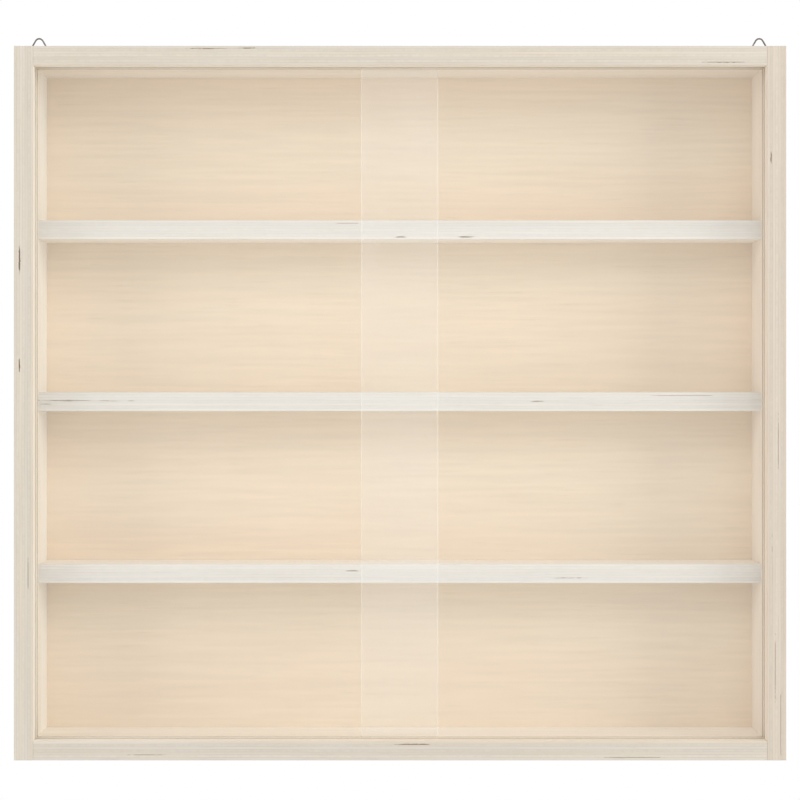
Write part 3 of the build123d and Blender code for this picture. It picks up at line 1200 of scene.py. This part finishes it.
@dataclass(frozen=True)
class Drill:
    """A countersinking drill: what it turns through is taken out of a board.

    Attributes:
        head: diameter of the countersink at the surface.
        bore: diameter of the hole.
        depth: how deep the hole goes.
    """

    head: float
    bore: float
    depth: float

    def grid(self, seat: Seat) -> Grid:
        """Turns the drill: a collar above the surface, a 45 degree cone and a cylinder.

        Args:
            seat: where the drill stands.

        Returns:
            The drill's surface.
        """
        cone = (self.head - self.bore) / 2
        radii = np.array([self.head, self.head, self.bore, self.bore]) / 2
        heights = np.array([0.5 * MM, 0.0, -cone, -self.depth])
        turn = np.linspace(0.0, 2 * math.pi, 48, endpoint=False)
        across = radii[:, None] * np.cos(turn)
        beside = radii[:, None] * np.sin(turn)
        return Grid(seat.put(across, beside, np.broadcast_to(heights[:, None], across.shape)))


def drill_out(piece: bpy.types.Object, grids: Sequence[Grid]) -> None:
    """Takes closed grids out of a piece with an exact Boolean, and applies it.

    Args:
        piece: the piece to drill.
        grids: what is taken out.
    """
    crease = math.radians(40)
    cutter = build_mesh("drill", grids)
    cut = piece.modifiers.new("holes", "BOOLEAN")
    cut.operation = "DIFFERENCE"
    cut.solver = "EXACT"
    cut.object = cutter
    drilled = bpy.data.meshes.new_from_object(piece.evaluated_get(bpy.context.evaluated_depsgraph_get()))
    piece.modifiers.clear()
    piece.data = drilled
    drilled.set_sharp_from_angle(angle=crease)
    bpy.data.objects.remove(cutter)


# ---------------------------------------------------------------------------
# The case
# ---------------------------------------------------------------------------
@dataclass
class Case:
    """The plywood case: four boards, three shelves, the back panel and what joins them.

    Attributes:
        groove_width: width of the door grooves.
        upper_depth: depth of the door grooves in the top board.
        side_depth: depth of the door grooves in the side boards.
        panel_clearance: what the back panel's groove is wider than the panel.
        panel_edge_gap: between the back panel's edge and the floor of its groove.
        pocket_width: width of a hanger's pocket in a side board's rear edge.
        pocket_depth: depth of that pocket.
        pocket_length: how far it reaches down from the top.
        pocket_corner: radius of its lower corners.
        corner_screw: the countersunk screws at the corners.
        inner_face_painted_light: what the top and bottom boards' faces are, as a multiple of
        their edges: more than the other boards, as painted light that lifts the shade
        under the top board and over the bottom board.
    """

    groove_width: float = 4 * MM
    upper_depth: float = 8 * MM
    side_depth: float = 4 * MM
    panel_clearance: float = 0.2 * MM
    panel_edge_gap: float = 0.5 * MM
    pocket_width: float = 9 * MM
    pocket_depth: float = 3.5 * MM
    pocket_length: float = 32.3 * MM
    pocket_corner: float = 3 * MM
    corner_screw: Screw = Screw(35 * MM, 3.5 * MM, 7 * MM, 0.0)
    # Painted light: the top and bottom boards' faces are lifted more than the other boards' faces.
    inner_face_painted_light: Colour = (1.38, 1.38, 1.40)

    def plywood(self, node: str, lie: Lie, seed: float, **tones: Any) -> Plywood:
        """The plywood of a board, with its low face and thickness taken from the frame.

        Args:
            node: the board's CAD node.
            lie: how the board lies.
            seed: moves the pattern.
            **tones: colours and strengths that differ from the usual ones.

        Returns:
            The plywood.
        """
        low, high = node_box(node)
        if lie is Lie.ON_EDGE:
            low_face, thickness = -float(high[0]), float(high[0] - low[0])
        else:
            low_face, thickness = float(low[2]), float(high[2] - low[2])
        return Plywood(node + "_plywood", lie, low_face, thickness, seed=seed, **tones)

    def grooves(self, side: Side, door_depth: float, start: float, end: float) -> tuple[Recess, ...]:
        """The two door grooves and the panel groove of one board. A groove that stops short
        of the board's ends has round ends.

        Args:
            side: the section's side that faces into the case.
            door_depth: depth of the door grooves.
            start: where they start along the board, or minus infinity if they run through.
            end: where they end, or infinity.

        Returns:
            The three recesses.
        """
        panel = node_box("back_panel")
        inner = node_box("side_panel_right")[0, 0]
        panel_depth = float(panel[1, 0] - inner) + self.panel_edge_gap
        panel_width = float(panel[1, 1] - panel[0, 1]) + self.panel_clearance
        cuts = (
            ("door_right_front", self.groove_width, door_depth),
            ("door_left_rear", self.groove_width, door_depth),
            ("back_panel", panel_width, panel_depth),
        )
        corner_share = 0.5 if math.isfinite(start) else 0.0
        return tuple(
            Recess(side, float(node_box(node)[:, 1].mean()), width, depth, start, end, width * corner_share)
            for node, width, depth in cuts
        )

    def side_board(self, node: str, side: Side, seed: int, voids: tuple[Void, ...], **tones: Any) -> Board:
        """One side board, with stopped grooves and the hanger's pocket.

        Args:
            node: the board's CAD node.
            side: the section's side that faces into the case.
            seed: for the board and its plywood.
            voids: gaps laid open on its front edge.
            **tones: what its plywood has of its own.

        Returns:
            The board.
        """
        box = node_box(node)
        door = node_box("door_right_front")
        ceiling = float(node_box("top_panel")[0, 2])
        radius = self.groove_width / 2
        least_wood = 2 * MM
        low_end = float(door[0, 2]) - radius
        high_end = min(ceiling + self.upper_depth + radius, float(box[1, 2]) - least_wood)
        pocket = Recess(
            Side.REAR_EDGE,
            float(box[:, 0].mean()),
            self.pocket_width,
            self.pocket_depth,
            float(box[1, 2]) - self.pocket_length,
            math.inf,
            self.pocket_corner,
        )
        recesses = (*self.grooves(side, self.side_depth, low_end, high_end), pocket)
        finish = self.plywood(node, Lie.ON_EDGE, seed * 3.1, **tones)
        return Board(node, finish, True, recesses, voids, seed)

    def boards(self) -> list[Board]:
        """All seven boards, with the gaps that each shows on its front edge.

        Returns:
            The boards, not yet built.
        """
        lower_depth = float(node_box("bottom_panel")[1, 2] - node_box("door_right_front")[0, 2])
        pale = {
            "wood": (0.71, 0.68, 0.635),
            "flush": (0.70, 0.655, 0.585),
            "end_grain": (0.68, 0.645, 0.595),
            "glue": (0.46, 0.40, 0.33),
            # The shelves' faces are lifted too, partly by painted light.
            "face_tint": (1.2, 1.18, 1.15),
        }
        # The top and bottom boards take the extra painted light on their faces.
        top = Board(
            "top_panel",
            self.plywood("top_panel", Lie.FLAT, 11.3, face_tint=self.inner_face_painted_light),
            recesses=self.grooves(Side.LOW_FACE, self.upper_depth, *UNBOUNDED),
            voids=(Void(-119, 13.3, 14, 0.9), Void(-150, 12.9, 43, 0.6, 0.4), Void(252, 2.2, 46, 0.6, 0.3)),
            seed=11,
        )
        bottom = Board(
            "bottom_panel",
            self.plywood("bottom_panel", Lie.FLAT, 23.9, face_tint=self.inner_face_painted_light),
            recesses=self.grooves(Side.HIGH_FACE, lower_depth, *UNBOUNDED),
            voids=(Void(9, 12.4, 31, 0.8), Void(180, 2.4, 58, 0.4, 0.3), Void(-196, 4.2, 34, 0.5, 0.3)),
            seed=23,
        )
        left = self.side_board(
            "side_panel_left",
            Side.HIGH_FACE,
            31,
            (Void(-158, 4.3, 24, 1.7, 1.2), Void(-241, 4.2, 11, 1.4, 1.1), Void(-402, 11, 30, 0.4, 0.3)),
        )
        right = self.side_board(
            "side_panel_right",
            Side.LOW_FACE,
            37,
            (
                Void(-79, 3.2, 9, 1.1, 0.9),
                Void(-301, 8.6, 52, 0.4, 0.3),
                Void(-382, 4.1, 60, 0.4, 0.3),
                Void(-476, 6.4, 62, 0.45, 0.3),
                Void(-520, 10.7, 54, 0.6, 0.4),
            ),
            wood=(0.615, 0.55, 0.47),
            flush=(0.60, 0.515, 0.42),
            # More painted shade along this board's arrises.
            soiled=0.5,
        )
        upper = Board(
            "shelf_upper",
            self.plywood("shelf_upper", Lie.FLAT, 43.1, **pale),
            voids=(Void(1, 1.9, 8, 1.3, 1.0), Void(51, 1.9, 14, 1.2, 1.0), Void(-41, 12.6, 20, 0.5, 0.3)),
            seed=43,
        )
        middle = Board(
            "shelf_middle",
            self.plywood("shelf_middle", Lie.FLAT, 47.7, **pale),
            voids=(
                Void(-264, 8.3, 46, 0.9, 0.5),
                Void(-223, 8.1, 46, 0.5, 0.3),
                Void(-279, 5.6, 10, 0.7, 0.4),
                Void(107, 7.6, 12, 0.9, 0.8),
                Void(222, 12.2, 60, 0.5, 0.3),
            ),
            seed=47,
        )
        lower = Board(
            "shelf_lower",
            self.plywood("shelf_lower", Lie.FLAT, 53.3, **pale),
            voids=(Void(-37, 9.6, 13, 0.8, 0.7), Void(134, 4.1, 44, 0.5, 0.3)),
            seed=53,
        )
        return [top, bottom, left, right, upper, middle, lower]

    def screw_seats(self) -> list[Seat]:
        """Where the corner screws' heads are: two at each corner, on the outer faces.

        Returns:
            Eight seats, four on each side of the case.
        """
        low, high = node_box("corner_screws")
        head = self.corner_screw.head / 2
        return [
            Seat((x, y, z), (side, 0.0, 0.0))
            for side, x in ((-1.0, low[0]), (1.0, high[0]))
            for y in (low[1] + head, high[1] - head)
            for z in (low[2] + head, high[2] - head)
        ]

    def join(self, screw_steel: bpy.types.Material) -> None:
        """Drives the corner screws, with their heads a hair below the surface.

        Args:
            screw_steel: the screws' finish.
        """
        sunk = 0.12 * MM
        grids = []
        for seat in self.screw_seats():
            origin = (seat.origin[0] - seat.outward[0] * sunk, *seat.origin[1:])
            grids.append(self.corner_screw.grid(Seat(origin, seat.outward)))
        piece = build_mesh("corner_screws_turned", grids)
        settle(piece, Body.CASE, [screw_steel], "corner_screws")

    def build(self) -> None:
        """Builds the boards and finishes the back panel, dowels, screws and brads."""
        screw, play, hole = self.corner_screw, 0.1 * MM, 14.5 * MM
        drill = Drill(screw.head + play, screw.diameter + play, hole)
        for board in self.boards():
            piece = board.build()
            if board.upright:
                middle = node_box(board.node)[:, 0].mean()
                seats = [seat for seat in self.screw_seats() if seat.outward[0] * middle > 0]
                drill_out(piece, [drill.grid(seat) for seat in seats])
        low, high = node_box("back_panel")
        panel = Plywood(
            "back_panel_plywood",
            Lie.FACING,
            float(low[1]),
            float(high[1] - low[1]),
            plies=3,
            wood=(0.785, 0.665, 0.51),
            flush=(0.785, 0.63, 0.465),
            end_grain=(0.70, 0.56, 0.40),
            seed=61.7,
            figure=0.12,
            face_tint=(1.0, 1.0, 1.0),
            drift=0.75,
        )
        dress("back_panel", panel.make())
        birch = Birch().make()
        dress("corner_dowels", birch)
        dress("shelf_dowels", birch)
        self.join(Metal("screw_zinc", (0.72, 0.70, 0.64), (0.50, 0.47, 0.41)).make())
        dress("back_panel_brads", Metal("brad_steel", (0.62, 0.61, 0.59), (0.40, 0.39, 0.37)).make())


# ---------------------------------------------------------------------------
# The doors
# ---------------------------------------------------------------------------
@dataclass
class SlidingDoor:
    """A frameless clear door: a sheet with polished edges.

    Attributes:
        node: the CAD node that it replaces.
        body: the body it rides on.
        arris: radius of its scraped edges.
    """

    node: str
    body: Body
    arris: float = 0.3 * MM

    def build(self, clear: bpy.types.Material, edge: bpy.types.Material) -> None:
        """Carries the sheet's section up its height and trims all but its two faces with
        the edge finish. The sheet casts no shadow and is left out of diffuse rays, because
        a ray passes only a few clear faces before it goes dark, and two doors have four.

        Args:
            clear: finish of the two faces.
            edge: finish of the four edges and their arrises.
        """
        low, high = node_box(self.node)
        corners = tuple(
            Corner(x, y, self.arris, spacing)
            for x, y, spacing in (
                (low[0], low[1], 20 * MM),
                (high[0], low[1], 1 * MM),
                (high[0], high[1], 20 * MM),
                (low[0], high[1], 1 * MM),
            )
        )
        traced = Outline(corners).trace()
        rows = row_places(float(low[2]), float(high[2]), 12 * MM, self.arris)
        ends = np.minimum(rows - low[2], high[2] - rows)
        section = traced.points[None] - traced.normals[None] * drawn_in(ends, self.arris)[:, None, None]
        along = np.broadcast_to(rows[:, None], section.shape[:2])
        facing = np.abs(traced.normals[:, 1]) > 0.999
        both = facing & np.roll(facing, -1)
        between = (ends > self.arris * 0.99) & (np.roll(ends, -1) > self.arris * 0.99)
        trim = np.where(both[None, :] & between[:, None], 0, 1)
        points = np.stack([section[..., 0], section[..., 1], along], axis=-1)
        piece = build_mesh(self.node + "_sheet", [Grid(points, trim=trim, cap_trim=1)])
        piece.visible_shadow = False
        piece.visible_diffuse = False
        settle(piece, self.body, [clear, edge], self.node)


# ---------------------------------------------------------------------------
# The hangers
# ---------------------------------------------------------------------------
@dataclass
class Hanger:
    """A hanging ring, the folded strap that it turns in and the strap's screws.

    Attributes:
        side: left or right, as in the nodes' names.
        body: the body that the ring rides on.
        width: of the wire's triangle, as if its corners were sharp.
        height: of the same triangle.
        apex_radius: of the wire's bend at the top.
        foot_radius: of its bends at the foot.
        sheet: thickness of the strap's steel.
        end_radius: of the strap's lower corners.
        screw: the pan-headed screws that hold the strap.
    """

    side: str
    body: Body
    width: float = 22 * MM
    height: float = 19.2 * MM
    apex_radius: float = 3.3 * MM
    foot_radius: float = 2.4 * MM
    sheet: float = 1 * MM
    end_radius: float = 3 * MM
    screw: Screw = Screw(14 * MM, 2.8 * MM, 5.2 * MM, 1.3 * MM, 1.1 * MM, 2.7 * MM)

    def ring(self, wire: bpy.types.Material) -> None:
        """Bends the ring: a circle of the wire's radius carried round a triangle with
        rounded corners, spanned by the triangle's own normal and the Y axis.

        Args:
            wire: the wire's finish.
        """
        node = f"hanger_ring_{self.side}"
        low, high = node_box(node)
        radius = (high[1] - low[1]) / 2
        middle = (low[0] + high[0]) / 2
        foot = low[2] + radius
        corners = (
            Corner(middle - self.width / 2, foot, self.foot_radius, 1.5 * MM),
            Corner(middle + self.width / 2, foot, self.foot_radius, 1.5 * MM),
            Corner(middle, foot + self.height, self.apex_radius, 1.5 * MM),
        )
        traced = Outline(corners, arc_steps=12, brace=0.5 * MM).trace()
        angle = np.linspace(0.0, 2 * math.pi, 20, endpoint=False)
        outward = radius * np.cos(angle)[None, :, None] * traced.normals[:, None, :]
        flat = traced.points[:, None, :] + outward
        sideways = (low[1] + high[1]) / 2 + radius * np.sin(angle)
        sideways = np.broadcast_to(sideways[None, :], flat.shape[:2])
        points = np.stack([flat[..., 0], sideways, flat[..., 1]], axis=-1)
        piece = build_mesh(node + "_wire", [Grid(points, ring=True)])
        settle(piece, self.body, [wire], node)

    def fold_line(self, low: np.ndarray, high: np.ndarray) -> np.ndarray:
        """The middle line of the folded sheet, in depth and height: up the front layer,
        round the wire as an arc, back through a cubic curve and down the rear layer.

        Args:
            low: lowest corner of the strap's box.
            high: highest corner.

        Returns:
            Points of shape (count, 2).
        """
        half = self.sheet / 2
        outer = (high[1] - low[1]) / 2
        axis = np.array([high[1] - outer, high[2] - outer])
        bend = outer - half
        front_y = low[1] + half
        rear_y = front_y + self.sheet + 0.03 * MM
        clear = 0.06 * MM
        climb = np.linspace(low[2] + clear, axis[1], 16, endpoint=False)
        front = np.stack([np.full(len(climb), front_y), climb], axis=1)
        angle = np.radians(np.linspace(180.0, -50.0, 26))
        arc = axis + bend * np.stack([np.cos(angle), np.sin(angle)], axis=1)
        leave = np.array([math.sin(angle[-1]), -math.cos(angle[-1])])
        meet = np.array([rear_y, axis[1] - 2.2 * bend])
        pulls = (arc[-1], arc[-1] + leave * 0.6 * bend, meet + np.array([0.0, 0.6 * bend]), meet)
        share = np.linspace(0.0, 1.0, 12)[1:, None]
        weights = ((1 - share) ** 3, 3 * share * (1 - share) ** 2, 3 * share**2 * (1 - share), share**3)
        curve = sum(weight * pull for weight, pull in zip(weights, pulls))
        drop = np.linspace(meet[1], low[2] + clear, 16)[1:]
        rear = np.stack([np.full(len(drop), rear_y), drop], axis=1)
        return np.concatenate([front, arc, curve, rear])

    def strap(self, steel: bpy.types.Material) -> None:
        """Folds the strap: the sheet's two surfaces lie half its thickness either side of
        the middle line, and the outline is carried across its width, which narrows as a
        quarter circle towards the rounded lower corners.

        Args:
            steel: the strap's finish.
        """
        node = f"hanger_strap_{self.side}"
        low, high = node_box(node)
        line = self.fold_line(low, high)
        ahead = np.gradient(line, axis=0)
        ahead /= np.linalg.norm(ahead, axis=1)[:, None]
        aside = np.stack([ahead[:, 1], -ahead[:, 0]], axis=1)
        half = self.sheet / 2
        outline = np.concatenate([line + aside * half, (line - aside * half)[::-1]])
        outward = np.concatenate([aside, -aside[::-1]])
        edge = 0.2 * MM
        reach = float(high[0] - low[0]) / 2
        rows = row_places(-reach, reach, 1.6 * MM, edge)
        drawn = drawn_in(np.minimum(rows + reach, reach - rows), edge)
        section = outline[None] - outward[None] * drawn[:, None, None]
        short = np.clip(self.end_radius - (section[..., 1] - low[2]), 0.0, self.end_radius)
        width = reach - self.end_radius + np.sqrt(self.end_radius**2 - short**2)
        across = (low[0] + high[0]) / 2 + rows[:, None] * width / reach
        points = np.stack([across, section[..., 0], section[..., 1]], axis=-1)
        piece = build_mesh(node + "_folded", [Grid(points)])
        settle(piece, Body.CASE, [steel], node)

    def screws(self, steel: bpy.types.Material) -> None:
        """Drives the strap's two screws, with their heads on its rear layer.

        Args:
            steel: the screws' finish.
        """
        node = f"hanger_screws_{self.side}"
        low, high = node_box(node)
        head = self.screw.head / 2
        bearing = high[1] - self.screw.height
        middle = (low[0] + high[0]) / 2
        seats = [Seat((middle, bearing, z), (0.0, 1.0, 0.0)) for z in (low[2] + head, high[2] - head)]
        piece = build_mesh(node + "_turned", [self.screw.grid(seat) for seat in seats])
        settle(piece, Body.CASE, [steel], node)

    def build(
        self, wire: bpy.types.Material, strap: bpy.types.Material, screw: bpy.types.Material
    ) -> None:
        """Bends the ring, folds the strap and drives its screws.

        Args:
            wire: the ring's finish.
            strap: the strap's finish.
            screw: the screws' finish.
        """
        self.ring(wire)
        self.strap(strap)
        self.screws(screw)


# ---------------------------------------------------------------------------
# The studio
# ---------------------------------------------------------------------------
@dataclass
class Studio:
    """Pale floor, soft light and the camera, placed from the case's own box.

    Attributes:
        distance: from the camera to the case's front.
        aside: how far the camera stands to the right of the case's middle.
        above: how far it stands above the case's middle.
        lens: focal length in millimetres, for a sensor 36 mm wide.
        shift: of the lens, sideways and upwards.
        floor_drop: from the case's underside to the floor.
        floor_box: the floor's left, front, right and rear edges.
        surround: strength of the surround's light on the object.
    """

    distance: float = 1.8
    aside: float = -0.0156
    above: float = 0.0102
    lens: float = 104.3
    shift: tuple[float, float] = (0.025, -0.0125)
    floor_drop: float = 0.9
    floor_box: tuple[float, float, float, float] = (-3.0, -3.2, 3.0, 2.9)
    surround: float = 0.63

    def middle(self) -> np.ndarray:
        """The middle of the case's front, in the frame.

        Returns:
            Its three coordinates.
        """
        left = node_box("side_panel_left")
        right = node_box("side_panel_right")
        return np.array([(left[0, 0] + right[1, 0]) / 2, left[0, 1], (left[0, 2] + left[1, 2]) / 2])

    def camera(self) -> None:
        """Stands the camera square to the front and makes it the scene's camera."""
        front = self.middle()
        data = bpy.data.cameras.new("camera")
        data.lens = self.lens
        data.sensor_width = 36.0
        data.shift_x, data.shift_y = self.shift
        camera = bpy.data.objects.new("camera", data)
        camera.location = (front[0] + self.aside, front[1] - self.distance, front[2] + self.above)
        camera.rotation_euler = (math.pi / 2, 0.0, 0.0)
        bpy.context.scene.collection.objects.link(camera)
        bpy.context.scene.camera = camera

    def floor(self) -> None:
        """Lays the pale floor: a wide slab with rounded edges, below the hanging case. It
        glows a little, as a floor does that lamps outside the room's middle also reach."""
        top = float(CAD_BOX[0][2]) - self.floor_drop
        thick, bevel = 0.03, 0.004
        left, front, right, rear = self.floor_box
        places = ((left, front), (right, front), (right, rear), (left, rear))
        traced = Outline(tuple(Corner(x, y, 0.02, 0.5) for x, y in places)).trace()
        heights = np.array([top - thick, top - bevel, top])
        inset = np.array([0.0, 0.0, bevel])
        flat = traced.points[None] - traced.normals[None] * inset[:, None, None]
        rise = np.broadcast_to(heights[:, None], flat.shape[:2])
        piece = build_mesh("floor", [Grid(np.stack([flat[..., 0], flat[..., 1], rise], axis=-1))])
        bench = Bench("pale_floor")
        clouds = bench.noise(bench.place(), 2.0, 3.0)
        shader = bench.principled(
            Base_Color=bench.blend(clouds, (0.56, 0.56, 0.555), (0.59, 0.59, 0.585)),
            Roughness=0.9,
            Emission_Color=(1.0, 1.0, 0.995, 1.0),
            Emission_Strength=0.4,
        )
        piece.data.materials.append(bench.surface(shader))

    def lamp(self, name: str, place: Sequence[float], size: float, power: float, colour: Colour) -> None:
        """Hangs a square soft box that faces the middle of the case.

        Args:
            name: the lamp's name.
            place: where it hangs, from the middle of the case's front, in metres.
            size: its side.
            power: in watts.
            colour: of its light.
        """
        front = self.middle()
        data = bpy.data.lights.new(name, "AREA")
        data.shape = "SQUARE"
        data.size = size
        data.energy = power
        data.color = colour
        lamp = bpy.data.objects.new(name, data)
        lamp.location = front + np.array(place)
        toward = -np.array(place) / np.linalg.norm(place)
        yaw = math.atan2(toward[0], toward[1])
        lamp.rotation_euler = (math.pi / 2 + math.asin(toward[2]), 0.0, -yaw)
        bpy.context.scene.collection.objects.link(lamp)

    def world(self) -> None:
        """Sets the surround: plain white to the lens and in reflections, and dimmer as a
        light, because the soft boxes light the object too."""
        world = bpy.data.worlds.new("surround")
        world.use_nodes = True
        tree = world.node_tree
        tree.nodes.clear()
        path = tree.nodes.new("ShaderNodeLightPath")
        seen = tree.nodes.new("ShaderNodeMath")
        seen.operation = "MAXIMUM"
        power = tree.nodes.new("ShaderNodeMapRange")
        power.inputs[3].default_value = self.surround
        power.inputs[4].default_value = 1.0
        shade = tree.nodes.new("ShaderNodeBackground")
        shade.inputs["Color"].default_value = (1.0, 1.0, 1.0, 1.0)
        end = tree.nodes.new("ShaderNodeOutputWorld")
        tree.links.new(path.outputs["Is Camera Ray"], seen.inputs[0])
        tree.links.new(path.outputs["Is Glossy Ray"], seen.inputs[1])
        tree.links.new(seen.outputs[0], power.inputs[0])
        tree.links.new(power.outputs[0], shade.inputs["Strength"])
        tree.links.new(shade.outputs[0], end.inputs["Surface"])
        bpy.context.scene.world = world

    def build(self) -> None:
        """Sets up the whole studio, with plain colours and no tone curve."""
        bpy.context.scene.view_settings.view_transform = "Standard"
        self.world()
        self.lamp("right_softbox", (2.7, -1.2, 0.45), 1.8, 41.0, (1.0, 0.98, 0.96))
        self.lamp("left_softbox", (-2.7, -1.2, 0.25), 1.8, 26.0, (1.0, 0.98, 0.96))
        self.lamp("top_softbox", (0.2, -1.9, 1.6), 1.6, 15.0, (1.0, 0.985, 0.97))
        self.lamp("rear_softbox", (-1.1, 2.6, 0.9), 1.8, 32.0, (1.0, 0.99, 0.98))
        self.floor()
        self.camera()


def main() -> None:
    """Builds the studio and the showcase, piece by piece."""
    logging.basicConfig(level=logging.INFO, format="%(name)s: %(message)s")
    Studio().build()
    Case().build()
    clear = ClearSheet("clear_acrylic").make()
    edge = CutEdge("acrylic_edge").make()
    SlidingDoor("door_right_front", Body.RIGHT_DOOR).build(clear, edge)
    SlidingDoor("door_left_rear", Body.LEFT_DOOR).build(clear, edge)
    wire = Metal("ring_wire", (0.21, 0.195, 0.17), (0.11, 0.10, 0.088), (0.3, 0.5)).make()
    strap = Metal("strap_zinc", (0.66, 0.65, 0.62), (0.45, 0.44, 0.41), (0.3, 0.5)).make()
    screw = Metal("pan_screw_zinc", (0.72, 0.70, 0.64), (0.50, 0.47, 0.41)).make()
    Hanger("left", Body.LEFT_RING).build(wire, strap, screw)
    Hanger("right", Body.RIGHT_RING).build(wire, strap, screw)


if __name__ == "__main__":
    main()
